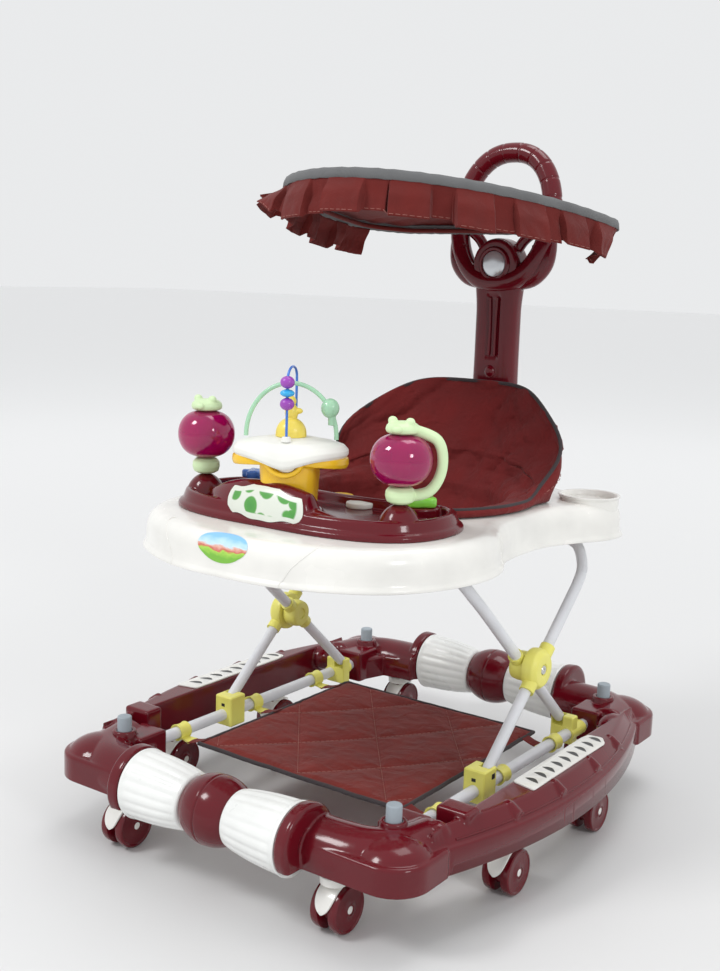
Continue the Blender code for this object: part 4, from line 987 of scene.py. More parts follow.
# Tray --------------------------------------------------------------------------------------------
TRAY_TOP_Z = 0.428
OPENING_HALF = (0.148, 0.138)
OPENING_Y = 0.052
TRAY_POINTS = 168
TRAY_PROFILE = (
    (0.0016, 0.3800), (0.0004, 0.3806), (0.0, 0.3822), (0.0006, 0.3842), (0.0026, 0.3862), (0.0040, 0.3885),
    (0.0044, 0.3960), (0.0046, 0.4040), (0.0052, 0.4100), (0.0070, 0.4160), (0.0100, 0.4212), (0.0145, 0.4252),
    (0.0200, 0.4273), (0.0260, 0.4280),
)


def tray_outline():
    """Plan of the tray's lip: round front, waist at the sides, cup corners at the back."""
    half = [
        (0.0, -0.330), (0.045, -0.329), (0.090, -0.321), (0.144, -0.297), (0.190, -0.262), (0.223, -0.205),
        (0.237, -0.140), (0.230, -0.085), (0.207, -0.035), (0.200, 0.025), (0.203, 0.085), (0.222, 0.135),
        (0.243, 0.180), (0.246, 0.222), (0.224, 0.250), (0.190, 0.262), (0.140, 0.274), (0.085, 0.296),
        (0.040, 0.306), (0.0, 0.308),
    ]
    loop = half + [(-x, y) for x, y in half[-2:0:-1]]
    return smooth_line([(x, y, 0.0) for x, y in loop], TRAY_POINTS, closed=True)


def opening_outline(grow=0.0):
    """Plan of the seat's opening in the tray."""
    points = []
    for i in range(TRAY_POINTS):
        angle = 2 * math.pi * i / TRAY_POINTS - math.pi / 2
        x = (OPENING_HALF[0] + grow) * abs(math.cos(angle)) ** 0.8 * math.copysign(1, math.cos(angle))
        y = (OPENING_HALF[1] + grow) * abs(math.sin(angle)) ** 0.8 * math.copysign(1, math.sin(angle))
        points.append(Vector((x, OPENING_Y + y, 0.0)))
    return points


def tray():
    """The white tray: rolled lip, round brim, flat top, cup holders and the column's socket."""
    lip = tray_outline()
    rings = [at_height(inward(lip, inset), z) for inset, z in TRAY_PROFILE]
    rings += [at_height(opening_outline(grow), z) for grow, z in (
        (0.0090, 0.4280), (0.0065, 0.4288), (0.0040, 0.4308), (0.0015, 0.4318), (-0.0010, 0.4312),
        (-0.0028, 0.4290), (-0.0032, 0.4240), (-0.0032, 0.3920), (0.0000, 0.3915), (0.0000, 0.4235))]
    rings += [at_height(inward(lip, inset), z) for inset, z in (
        (0.0270, 0.4245), (0.0180, 0.4225), (0.0120, 0.4170), (0.0085, 0.4080), (0.0078, 0.3900), (0.0045, 0.3806))]
    piece("tray_top", skin(rings, loop=True), "white_plastic", "tray", ["tray_shell"], sharp=40)
    cup = rounded([(0.0, 0.3850), (0.0385, 0.3850), (0.0405, 0.4240), (0.0405, 0.4315), (0.0425, 0.4340),
                   (0.0425, 0.4358), (0.0385, 0.4358), (0.0358, 0.4300), (0.0340, 0.3880), (0.0, 0.3880)], 0.0016)
    for side_name, side in SIDES:
        holder = lathe(cup, (side * 0.200, 0.207, 0), steps=96)
        piece(f"{side_name}_cup_holder", holder, "white_plastic", "tray", sharp=35)
    socket = block((-0.0370, 0.2585, 0.3815), (0.0370, 0.3055, 0.4325), 0.004, 4)
    piece("column_socket", socket, "white_plastic", "tray")
    for side_name, side in SIDES:
        x = side * 0.062
        bearing = block((x - 0.007, 0.190, 0.3600), (x + 0.007, 0.216, 0.426), 0.002)
        piece(f"{side_name}_bearing", bearing, "white_plastic", "tray")


def lip_point(lip, position, place, lift):
    """A point on the tray's brim: a place along the lip, a place up the profile, and a small lift off it."""
    index = place * (len(TRAY_PROFILE) - 1)
    k = min(int(index), len(TRAY_PROFILE) - 2)
    inset, z = Vector(TRAY_PROFILE[k]).lerp(Vector(TRAY_PROFILE[k + 1]), index - k)
    a = math.floor(position)
    ring = inward(lip, inset - lift)
    spot = ring[a % TRAY_POINTS].lerp(ring[(a + 1) % TRAY_POINTS], position - a)
    return Vector((spot.x, spot.y, z + lift * 0.6))


def front_sticker():
    """An oval landscape sticker that follows the tray's brim."""
    lip = tray_outline()

    def place(u, v):
        along = -0.2 + 3.7 * u * math.sqrt(max(0.0, 1 - (0.72 * v) ** 2))
        rise = 0.70 + 0.24 * v * math.sqrt(max(0.0, 1 - (0.72 * u) ** 2))
        return lip_point(lip, along, rise, 0.0004)

    uv_patch("front_sticker", "picture_sticker", 28, 14, place)


def tray_seam():
    """The curved parting line over the brim at the right front, and its twin at the left."""
    lip = tray_outline()
    line = [lip_point(lip, 11.5 - 3.4 * eased(1 - t, 0.0, 0.75), t, 0.0001) for t in np.linspace(0.08, 1.0, 40)]
    pair("tray_seam", sweep(line, 0.0006, sides=8), "white_plastic", "tray")


# Play board --------------------------------------------------------------------------------------
BOARD_Z = TRAY_TOP_Z + 0.0003
TOY_BASE_Z = 0.4676
TOY_X = 0.150
TOY_Y = -0.190
TOWER_Y = -0.205
TOWER_TURN = 27.5
TOWER_FOOT_Z = 0.4446
CLICKER_AT = (0.126, -0.110)
SPINNER_AT = (-0.132, -0.110)


def board_edge():
    """Plan of the play board."""
    half = [(0.0, -0.2585), (0.060, -0.2585), (0.108, -0.252), (0.150, -0.236), (0.180, -0.207), (0.193, -0.166),
            (0.192, -0.126), (0.178, -0.092), (0.152, -0.074), (0.116, -0.072), (0.070, -0.088)]
    loop = half + [(0.0, -0.095)] + [(-x, y) for x, y in half[:0:-1]]
    return smooth_line([(x, y, 0.0) for x, y in loop], 160, closed=True)


def hill_top(x):
    """Height of the hill's ridge over the board's foot: high in the middle, with a step at its right end."""
    return 0.0475 * (1 - (abs(x + 0.010) / 0.135) ** 2.2) * (1 - 0.40 * eased(x, 0.052, 0.062)) + 0.0045


def hill_point(x, a, grow=0.0):
    """How far forward the hill's skin is at one place along it, a turning from its front foot to its back."""
    depth = 0.0208 * math.sqrt(max(0.05, 1 - (x / 0.110) ** 2)) + grow
    return -0.236 - depth * math.cos(a) + 0.014 * (x / 0.11) ** 2


def play_board():
    """The maroon play board: bed, raised rim, the hill in front and a dome or deck under each toy."""
    edge = board_edge()
    low = BOARD_Z
    bed = skin([at_height(inward(edge, inset), low + rise) for inset, rise in (
        (0.0, 0.0), (0.0004, 0.0050), (0.0030, 0.0078), (0.0060, 0.0095), (0.0078, 0.0150), (0.0098, 0.0202),
        (0.0125, 0.0220), (0.0165, 0.0222), (0.0195, 0.0205), (0.0215, 0.0150), (0.0240, 0.0100))])
    turns = np.linspace(0, math.pi, 24)
    hill = [[Vector((x, hill_point(x, a), low + hill_top(x) * abs(math.sin(a)) ** 0.8)) for a in turns]
            for x in np.linspace(-0.108, 0.108, 90)]
    parts = [bed, skin(hill)]
    dome = [(0.0, 0.0), (0.0262, 0.0), (0.0262, 0.0070)]
    dome += [(0.0256 * math.cos(a), 0.0070 + 0.0322 * math.sin(a)) for a in np.radians(np.linspace(0, 88, 16))]
    dome.append((0.0, 0.0392))
    deck = rounded([(0.0, 0.0), (0.0248, 0.0), (0.0240, 0.0225), (0.0, 0.0225)], 0.002)
    foot = rounded([(0.0, 0.0), (0.0430, 0.0), (0.0415, 0.0160), (0.0, 0.0160)], 0.003)
    for side in (-1, 1):
        parts.append(lathe(dome, (side * TOY_X, TOY_Y, low), steps=64))
        parts.append(lathe(deck, (side * 0.126, -0.110, low), steps=56))
    parts.append(lathe(foot, (0, TOWER_Y, low), steps=56))
    form = fused(joined(*parts), 0.0012, 3, 0.40)
    cut_below(form, low)
    piece("play_board", form, "maroon_plastic", "tray", ["play_tray"], sharp=None)


def board_sticker():
    """A printed patch with a wavy edge on the front of the hill."""
    def place(u, v):
        x = -0.0025 + 0.0580 * u * math.sqrt(max(0.0, 1 - (0.45 * v) ** 2))
        wobble = 1 + 0.07 * math.cos(5 * u) - 0.05 * math.cos(9 * u)
        rise = min(0.97, 0.535 + 0.385 * v * math.sqrt(max(0.0, 1 - (0.55 * u) ** 2)) * wobble)
        y = hill_point(x, math.asin(rise ** 1.25), 0.0007)
        return (x, y - 0.0004, BOARD_Z + (hill_top(x) - 0.0015) * rise + 0.0006)

    uv_patch("board_sticker", "patch_sticker", 48, 16, place)


# Push handle -------------------------------------------------------------------------------------
COLUMN_Y = 0.282
HEAD_Y = COLUMN_Y - 0.001
HEAD_Z = 0.746
RING_CENTRE = (0.288, 0.814)
RING_SEMI = (0.0755, 0.0965)
RING_LEAN = 0.18


def column_rings():
    """Cross-sections of the column, with a long recess down its front."""
    rings = []
    for z in np.linspace(0.385, 0.742, 121):
        flare = 1 - 0.04 * eased(z, 0.50, 0.62) + 0.14 * eased(z, 0.675, 0.738)
        half, deep = 0.0356 * flare, 0.0185
        recess = eased(z, 0.600, 0.616) * (1 - eased(z, 0.694, 0.706))
        ring = []
        for k in range(128):
            angle = 2 * math.pi * k / 128
            c, s = math.cos(angle), math.sin(angle)
            x = half * math.copysign(abs(c) ** 0.60, c)
            y = deep * math.copysign(abs(s) ** 0.68, s)
            if s < 0:
                y += recess * 0.0042 * (1 - eased(abs(x), 0.0100, 0.0124))
            ring.append(Vector((x, COLUMN_Y + y, z)))
        rings.append(ring)
    return rings


def ring_point(angle):
    """A point on the ring grip's centre line."""
    c, s = math.cos(angle), math.sin(angle)
    along = RING_SEMI[1] * s
    x = RING_SEMI[0] * math.copysign(abs(c) ** 0.86, c)
    return Vector((x, RING_CENTRE[0] + along * math.sin(RING_LEAN), RING_CENTRE[1] + along * math.cos(RING_LEAN)))


def push_handle():
    """Column, round head and curled arms, run together into one moulding."""
    head = rounded([(0.0, -0.0195), (0.0355, -0.0195), (0.0380, -0.0120), (0.0380, 0.0120), (0.0355, 0.0195),
                    (0.0, 0.0195)], 0.006, 5)
    parts = [skin(column_rings()), lathe(head, (0, HEAD_Y, HEAD_Z), "Y", 72)]
    for side in (-1, 1):
        for route, count, radius, sides in (
            (((0.022, 0.281, 0.758), (0.036, 0.282, 0.780), (0.054, 0.284, 0.795), (0.070, 0.286, 0.812)),
             14, 0.0080, 20),
            (((0.026, 0.281, 0.722), (0.052, 0.281, 0.727), (0.070, 0.282, 0.745), (0.0745, 0.284, 0.768),
              (0.0720, 0.286, 0.792)), 20, 0.0135, 28),
            (((0.052, 0.272, 0.741), (0.060, 0.272, 0.755), (0.061, 0.274, 0.774)), 10, 0.0062, 20),
        ):
            parts.append(sweep(smooth_line([(side * x, y, z) for x, y, z in route], count), radius, sides))
    form = fused(joined(*parts), 0.0012, 2, 0.45)
    piece("handle_moulding", form, "maroon_plastic", "tray", ["push_handle"], sharp=None)


def ring_grip():
    """The ribbed ring grip on top of the handle."""
    angles = [2 * math.pi * i / 360 for i in range(360)]
    radii = []
    for angle in angles:
        share = eased(math.sin(angle), -0.35, -0.1)
        rib = min(1.0, abs(math.sin(angle * 11)) / 0.22)
        radii.append(0.0145 - 0.0013 * share * (1 - rib * rib * (3 - 2 * rib)))
    ring = [ring_point(angle) for angle in angles]
    piece("ring_grip", sweep(ring, radii, sides=36, closed=True), "maroon_plastic", "tray", sharp=None)


def handle_details():
    """The two ribs in the column's recess, the stud below them, and the head's bezel with its badge."""
    ribs = []
    for side in (-1, 1):
        line = smooth_line([(side * x, COLUMN_Y - back, z) for x, back, z in (
            (0.0062, 0.0160, 0.697), (0.0050, 0.0156, 0.670), (0.0046, 0.0156, 0.640), (0.0050, 0.0160, 0.612))], 30)
        ribs.append(sweep(line, 0.0021, sides=14))
    piece("column_ribs", joined(*ribs), "maroon_plastic", "tray")
    bezel = [(0.0193, -0.0215), (0.0203, -0.0232), (0.0232, -0.0232), (0.0258, -0.0205), (0.0258, -0.0170),
             (0.0193, -0.0170)]
    piece("handle_bezel", lathe(bezel, (0, HEAD_Y, HEAD_Z), "Y", 72, loop=True), "maroon_plastic", "tray")
    dome = [(0.0, -0.0170), (0.0192, -0.0170)]
    dome += [(0.0192 * math.sin(a), -0.0200 - 0.0052 * math.cos(a)) for a in np.radians(np.linspace(90, 2, 14))]
    piece("handle_dome", lathe(dome, (0, HEAD_Y, HEAD_Z), "Y", 64), "silver_plastic", "tray", ["handle_badge"],
          sharp=50)
    stud = ellipsoid((0.0, COLUMN_Y - 0.0175, 0.5880), (0.0090, 0.0065, 0.0100), 32)
    piece("column_stud", stud, "maroon_plastic", "tray")


# Seat --------------------------------------------------------------------------------------------
SEAT_AROUND = 144
# Loops from the seat's rim down to its bottom: width as a share of the opening, front height and back height
SEAT_LEVELS = (
    (1.155, 0.440, 0.577), (1.150, 0.4387, 0.574), (1.130, 0.4375, 0.545), (1.105, 0.4365, 0.508),
    (1.075, 0.4355, 0.484), (1.062, 0.4350, 0.476), (1.068, 0.4345, 0.470), (1.045, 0.4335, 0.452),
    (0.975, 0.4325, 0.438), (0.930, 0.424, 0.428), (0.915, 0.410, 0.412), (0.900, 0.392, 0.393),
    (0.860, 0.372, 0.372), (0.780, 0.350, 0.350), (0.640, 0.334, 0.334), (0.460, 0.325, 0.325),
    (0.260, 0.3215, 0.3215), (0.080, 0.3205, 0.3205),
)


def crumple(angle, height, seed):
    """Sharp creases and soft swells of slack cloth, about 1 high."""
    ridge = 1 - 2.4 * abs(noise.noise(Vector((angle * 3.4 + height * 14.0, height * 15.0, seed))))
    cross = 1 - 2.4 * abs(noise.noise(Vector((angle * 6.0 - height * 30.0, height * 8.0, seed + 4.0))))
    swell = noise.noise(Vector((angle * 2.6, height * 9.0, seed + 8.0)))
    return 0.75 * abs(ridge) ** 2.5 + 0.45 * abs(cross) ** 3 + 0.8 * swell - 0.35


def seat_edge(i, wide, low, high):
    """One point of a loop round the seat that rises, leans back and widens towards the back."""
    angle = 2 * math.pi * i / SEAT_AROUND - math.pi / 2
    back = max(0.0, math.sin(angle))
    spread = eased(wide, 0.99, 1.12)
    rise = min(1.0, max(0.0, (back - 0.134) / 0.866))
    lift = math.sin(rise * math.pi / 2) ** 2.2
    extra = (0.005 + 0.035 * math.exp(-((back - 0.575) / 0.179) ** 2)) * spread * (0.7 + 0.3 * eased(high, 0.45, 0.50))
    across = math.copysign(abs(math.cos(angle)) ** (1.0 - 0.153 * spread), math.cos(angle))
    x = (OPENING_HALF[0] * wide + extra) * across
    y = OPENING_Y + (OPENING_HALF[1] * wide + 0.004 * spread) * math.sin(angle)
    y += 0.0178 * lift * spread * eased(high, 0.44, 0.56)
    return Vector((x, y, low + (high - low) * lift))


def seat_ring(level, depth_at):
    """A loop of the seat moved outwards by depth_at(angle, height)."""
    ring = []
    for i in range(SEAT_AROUND):
        point = seat_edge(i, *level)
        outwards = Vector((point.x, point.y - OPENING_Y, 0.0)).normalized()
        ring.append(point + outwards * depth_at(2 * math.pi * i / SEAT_AROUND, point.z))
    return ring


def seat():
    """A fabric sling with leg holes, a wide raised back with creases and a low fold, and dark piping."""
    rings = []
    for step in np.linspace(0, len(SEAT_LEVELS) - 1, 120):
        k = min(int(step), len(SEAT_LEVELS) - 2)
        level = [a + (b - a) * (step - k) for a, b in zip(SEAT_LEVELS[k], SEAT_LEVELS[k + 1])]
        slack = 0.0095 * min(1.0, step / 1.2) * (0.5 if step > 7 else 1.0)
        ring = seat_ring(level, lambda angle, height: crumple(angle, height, 0.3) * slack)
        for point in ring:
            point.y -= (point.y - OPENING_Y) * 0.15 * (1 - eased(point.z, 0.384, 0.412))
        rings.append(ring)
    shape = skin(rings, ends=(False, True))
    holes = []
    for face in shape.faces:
        x, y, z = face.calc_center_median()
        if z < 0.40 and math.hypot((abs(x) - 0.062) / 0.041, (y + 0.035) / 0.041) < 1:
            holes.append(face)
    bmesh.ops.delete(shape, geom=holes, context="FACES")
    cloth = piece("seat_sling", shape, "maroon_fabric", "tray", ["seat"], sharp=None)
    thicken(cloth, 0.0022)
    rim = [seat_edge(i, 1.157, 0.4395, 0.5755) for i in range(SEAT_AROUND)]
    piece("seat_piping", sweep(rim, 0.0026, sides=12, closed=True), "dark_piping", "tray")
    skirt = []
    for *level, share in ((1.158, 0.4395, 0.5750, 1.0), (1.172, 0.4372, 0.5450, 0.9), (1.178, 0.4350, 0.5100, 0.8),
                          (1.172, 0.4325, 0.4700, 0.4), (1.160, 0.4305, 0.4325, 0.0)):
        slack = 0.0045 * share * (1.2 - share)
        skirt.append(seat_ring(level, lambda angle, height: crumple(angle, height, 6.1) * slack))
    outer = piece("seat_back_skirt", skin(skirt, ends=(False, False)), "maroon_fabric", "tray",
                  sharp=None, subdivide=1)
    thicken(outer, 0.0014, 1.0)
    seam = [seat_edge(i, 1.181, 0.4345, 0.505) for i in range(SEAT_AROUND)]
    seam = sorted((p for p in seam if p.y > 0.075), key=lambda p: math.atan2(p.x, p.y - OPENING_Y))
    dashes = [[a.lerp(b, 0.15), a.lerp(b, 0.75)] for a, b in zip(seam[1:-1], seam[2:-1])]
    stitches("seat_stitches", dashes, 0.0005, "tray")


# Canopy ------------------------------------------------------------------------------------------
CANOPY_HALF_WIDTH = 0.211
CANOPY_FRONT = 0.331
CANOPY_REAR = 0.087
CANOPY_Y = 0.199
CANOPY_CUT_Y = 0.259
CANOPY_PIVOT = (0.284, 0.797)
CANOPY_SLOPE = 0.127
CANOPY_AROUND = 288
VALANCE_DROP = 0.052
VALANCE_END_Y = 0.229
PLEATS = 12


def canopy_edge(i, scale=1.0, out=0.0, drop=0.0):
    """A point of the canopy's egg-shaped rim, cut straight at the back."""
    angle = 2 * math.pi * i / CANOPY_AROUND + math.pi / 2
    long = CANOPY_REAR if math.sin(angle) > 0 else CANOPY_FRONT
    x = (CANOPY_HALF_WIDTH * scale + out) * math.cos(angle)
    y = min(CANOPY_Y + (long * scale + out) * math.sin(angle), CANOPY_CUT_Y)
    return Vector((x, y, CANOPY_PIVOT[1] - CANOPY_SLOPE * (y - 0.27) - drop))


def canopy_top():
    """The cap: one shallow curved sheet with faint radial pulls over its wire hoop."""
    rings = []
    for share in (1.0, 0.96, 0.90, 0.82, 0.72, 0.6, 0.45, 0.3, 0.15, 0.03):
        ring = [canopy_edge(i, share) for i in range(CANOPY_AROUND)]
        for i, point in enumerate(ring):
            pull = 0.0011 * math.sin(i * 2 * math.pi / CANOPY_AROUND * 19) * share ** 3
            ripple = 0.0008 * noise.noise(Vector((point.x * 25, point.y * 25, 3.0)))
            point.z += 0.0125 * (1 - share ** 2) + pull + ripple
        rings.append(ring)
    top = piece("canopy_top", skin(rings, ends=(False, True)), "canopy_fabric", "canopy", ["canopy"], sharp=None)
    thicken(top, 0.0012, 1.0)


def canopy_binding():
    """A folded grey tape over the rim, 13 mm wide on the outside."""
    section = ((-0.0040, 0.0022), (0.0, 0.0028), (0.0046, 0.0020), (0.0062, -0.0020), (0.0070, -0.0096),
               (0.0058, -0.0102), (0.0012, -0.0040), (-0.0040, 0.0004))
    rings = []
    for i in range(0, CANOPY_AROUND, 2):
        edge = canopy_edge(i)
        along = canopy_edge(i + 5) - canopy_edge(i - 5)
        outward = Vector((-along.y, along.x, 0.0)).normalized()
        if outward.dot(Vector((edge.x, edge.y - CANOPY_Y, 0.0))) < 0:
            outward = -outward
        rings.append([edge + outward * a + Vector((0, 0, b + 0.0004 * math.sin(i * 1.9))) for a, b in section])
    piece("canopy_binding", skin(rings, loop=True), "grey_piping", "canopy", sharp=None)


def canopy_wire():
    """The wire hoop in its fabric sleeve, and the axle and links that carry it."""
    hoop = [canopy_edge(i, 0.955, drop=0.0058) for i in range(0, CANOPY_AROUND, 3)]
    for point in hoop:
        point.y = min(point.y, CANOPY_CUT_Y - 0.006)
    pivot_y, pivot_z = CANOPY_PIVOT
    back_z = pivot_z - CANOPY_SLOPE * (CANOPY_CUT_Y - 0.27) - 0.0058
    wires = [sweep([(-0.104, pivot_y, pivot_z), (0.104, pivot_y, pivot_z)], 0.0032)]
    for x in (-0.101, 0.101):
        wires.append(sweep([(x, pivot_y + 0.002, pivot_z), (x, CANOPY_CUT_Y - 0.006, back_z)], 0.0036))
    piece("canopy_sleeve", sweep(hoop, 0.0032, 14, closed=True), "canopy_fabric", "canopy", sharp=60)
    piece("canopy_wire", joined(*wires), "grey_tube", "canopy", ["canopy_hoop"], sharp=60)


def valance():
    """The hanging frill: wide raised pleats with recessed ones between, a stitched hem, open at the back."""
    columns = [i for i in range(CANOPY_AROUND) if canopy_edge(i).y < VALANCE_END_Y]
    finer, rows = 4, 18
    count = (len(columns) - 1) * finer + 1
    places = [canopy_edge(columns[0] + c / finer) for c in range(count)]
    along = [0.0]
    for a, b in zip(places, places[1:]):
        along.append(along[-1] + (b - a).length)
    right_end = max((0, count - 1), key=lambda c: places[c].x)
    fall = VALANCE_DROP - 0.0045
    grid = []
    for share in (r / rows for r in range(rows + 1)):
        line = []
        for c, place in enumerate(places):
            run = along[c] / along[-1] * PLEATS + 0.10
            number = int(run)
            phase = run - number
            raised = eased(phase, 0.02, 0.055) * (1 - eased(phase, 0.64, 0.675))
            if c < 3 or c > count - 4:
                raised = 1.0
            tuck = 0.0115 * (raised - 0.30) * (0.10 + 0.90 * eased(share, 0.0, 0.5))
            lean = 0.0045 * math.sin(number * 2.3 + 1.0) * share
            wave = 0.0030 * noise.noise(Vector((c * 0.035, share * 2.4, 5.0))) * share
            sway = 0.0020 * noise.noise(Vector((c * 0.11, share * 3.0, 8.0))) * share
            tip = eased(1 - abs(place.x + 0.138) / 0.060, 0.0, 1.0) * (1.0 if place.y < 0.05 else 0.0)
            left = eased(-place.x, 0.150, 0.175)
            near = max(0.0, 1 - abs(along[c] - along[right_end]) / 0.120)
            flare = 0.0105 * share ** 1.15 + tuck + lean + wave + sway + 0.0046 + 0.021 * tip * share
            drop = 0.0085 + fall * share * (1.0 if raised > 0.5 else 0.90) + 0.0034 * share * math.sin(number * 1.7)
            drop -= (0.62 * tip + 0.20 * left * (1 - tip) + 0.14 * near) * fall * share
            point = canopy_edge(columns[0] + c / finer, 1.0, flare, drop)
            point.y -= 0.070 * share * near ** 1.1
            point.x -= 0.016 * share * near ** 1.1
            line.append(point)
        grid.append(line)
    low_row = grid[rows - 1]
    hem = [p + Vector((p.x, p.y - CANOPY_Y, 0)).normalized() * 0.0008 for p in low_row]
    frill = piece("canopy_valance", skin(grid, closed=False), "canopy_fabric", "canopy", sharp=42)
    thicken(frill, 0.0011, 0.0)
    starts = [c for c in range(2, count - 8, 6) if (low_row[c + 4] - low_row[c]).length <= 0.008]
    stitches("valance_topstitch", [(hem[c], hem[c + 4]) for c in starts], 0.00035, "canopy")


# Toys --------------------------------------------------------------------------------------------
def ball_toys():
    """Clear magenta balls between a mint body and head, joined by a curved arm."""
    body = [(0.0, -0.0005), (0.0110, 0.0002), (0.0158, 0.0030), (0.0176, 0.0090), (0.0170, 0.0150),
            (0.0135, 0.0190), (0.0080, 0.0206), (0.0, 0.0208)]
    head = [(0.0, 0.0806), (0.0150, 0.0808), (0.0188, 0.0826), (0.0198, 0.0862), (0.0186, 0.0902),
            (0.0150, 0.0932), (0.0090, 0.0948), (0.0, 0.0952)]
    core = [(0.0, -0.022), (0.0100, -0.0175), (0.0120, 0.0), (0.0100, 0.0175), (0.0, 0.022)]
    x_of, y, z = TOY_X, TOY_Y, TOY_BASE_Z
    for side_name, side in SIDES:
        x = side * x_of
        route = smooth_line([(x + side * across, y + back, z + up) for across, back, up in (
            (0.0, 0.004, 0.008), (0.026, 0.020, 0.015), (0.0375, 0.0275, 0.042), (0.0320, 0.0240, 0.074),
            (0.004, 0.003, 0.0865))], 32)
        radii = [0.0074 - 0.0012 * math.sin(math.pi * t / (len(route) - 1)) for t in range(len(route))]
        parts = [lathe(body, (x, y, z)), sweep(route, radii, sides=20), lathe(head, (x, y, z))]
        for ear in (-1, 1):
            parts.append(ellipsoid((x + ear * 0.0120, y - 0.003, z + 0.0948), (0.0058, 0.0050, 0.0052), 24))
        parts.append(ellipsoid((x + 0.004, y - 0.0180, z + 0.0870), (0.0072, 0.0045, 0.0046), 24))
        form = fused(joined(*parts), 0.0009, 3)
        piece(f"{side_name}_toy_figure", form, "mint_plastic", "tray", [f"{side_name}_toy_frame"], sharp=None)
        ball = f"{side_name}_toy_ball"
        low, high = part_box(ball)
        radius, tall, middle = (high.x - low.x) / 2, 0.0301, (x, y, z + 0.0506)
        outline = [(radius * 1.02 * abs(math.sin(a)) ** 0.72, tall * math.cos(a))
                   for a in np.radians(np.linspace(172, 8, 48))]
        inner = [(r * 0.94, h * 0.94) for r, h in outline[::-1]]
        globe = lathe(outline + inner, middle, steps=80, loop=True)
        piece(f"{side_name}_toy_globe", globe, "magenta_plastic", ball, [ball], sharp=60)
        piece(f"{side_name}_toy_core", lathe(core, middle, steps=36), "magenta_core", ball, sharp=60)


def star_prism(centre, low, high, radius, depth, points):
    """A flat rounded star with a number of points."""
    outline = []
    for angle in (2 * math.pi * i / 120 for i in range(120)):
        reach = radius - depth * (0.5 - 0.5 * math.cos(points * (angle + math.pi / 2)))
        outline.append((centre[0] + reach * math.cos(angle), centre[1] + reach * math.sin(angle)))
    return prism(outline, low, high, 0.003)


def tower_point(x, y, z):
    """Place a point of the turned middle toy: x across its face, y from front to back."""
    turn = math.radians(TOWER_TURN)
    return Vector((x * math.cos(turn) - y * math.sin(turn), TOWER_Y + x * math.sin(turn) + y * math.cos(turn), z))


def roof_skin(layers, base_z, lobe):
    """Stack roof outlines: (reach, height, droop of the arms, droop of the front and back lobes).

    Long arms go out left and right, and a shorter lobe in front and behind.
    """
    rings = []
    for reach, rise, droop, front_droop in layers:
        ring = []
        for angle in (2 * math.pi * i / 192 for i in range(192)):
            c, s = math.cos(angle), math.sin(angle)
            arm = abs(c) ** 3.4
            out = reach * max(arm + lobe * abs(s) ** 2.0 + 0.20 * (2 * abs(c * s)) ** 2, 0.35)
            z = base_z + rise - droop * arm ** 1.5 - front_droop * abs(s) ** 5
            ring.append(tower_point(out * c, out * s, z))
        rings.append(ring)
    return skin(rings)


def tower():
    """The middle toy: a yellow house with drooping eaves, and white icing with a yellow step under it."""
    tub = []
    for half, z in ((0.0296, 0.0), (0.0312, 0.0012), (0.0317, 0.0060), (0.0330, 0.0300), (0.0346, 0.0560),
                    (0.0350, 0.0640), (0.0330, 0.0660)):
        ring = []
        for angle in (2 * math.pi * i / 120 for i in range(120)):
            c, s = math.cos(angle), math.sin(angle)
            reach = half / (abs(c) ** 4 + abs(s) ** 4) ** 0.25
            ring.append(tower_point(reach * c, reach * s, TOWER_FOOT_Z + z))
        tub.append(ring)
    eaves = roof_skin(((0.040, -0.0060, 0.0, 0.0), (0.062, -0.0065, 0.0030, 0.0), (0.0690, -0.0055, 0.0045, 0.0),
                       (0.0708, -0.0010, 0.0040, 0.0), (0.0700, 0.0040, 0.0030, 0.0), (0.0600, 0.0070, 0.0, 0.0),
                       (0.0400, 0.0070, 0.0, 0.0)), 0.5066, 0.50)
    form = fused(joined(skin(tub), eaves), 0.0009)
    piece("tower_tub", form, "yellow_plastic", "tray", ["tower_house"], sharp=None)
    icing = [roof_skin(((0.040, 0.0020, 0.0, 0.0), (0.0600, 0.0006, 0.0, 0.0100), (0.0665, 0.0016, 0.0010, 0.0130),
                        (0.0700, 0.0056, 0.0008, 0.0130), (0.0698, 0.0105, 0.0004, 0.0110),
                        (0.0650, 0.0152, 0.0, 0.0070), (0.0520, 0.0192, 0.0, 0.0015), (0.0380, 0.0214, 0.0, 0.0),
                        (0.0290, 0.0230, 0.0, 0.0), (0.0120, 0.0236, 0.0, 0.0)), 0.5078, 0.68)]
    trim = []
    for face in (-1, 1):
        icing.append(ellipsoid(tower_point(0.0, face * 0.0335, 0.5070), (0.0180, 0.0105, 0.0150), 36))
        trim.append(sweep([tower_point(0.0235 * math.cos(a), face * 0.0385, 0.5125 + 0.0235 * math.sin(a))
                           for a in np.radians(np.linspace(188, 352, 26))], 0.0030, 14))
    piece("tower_cap", fused(joined(*icing), 0.0009), "icing_plastic", "tray", ["tower_icing"], sharp=None)
    piece("tower_step", joined(*trim), "yellow_plastic", "tray", sharp=None)


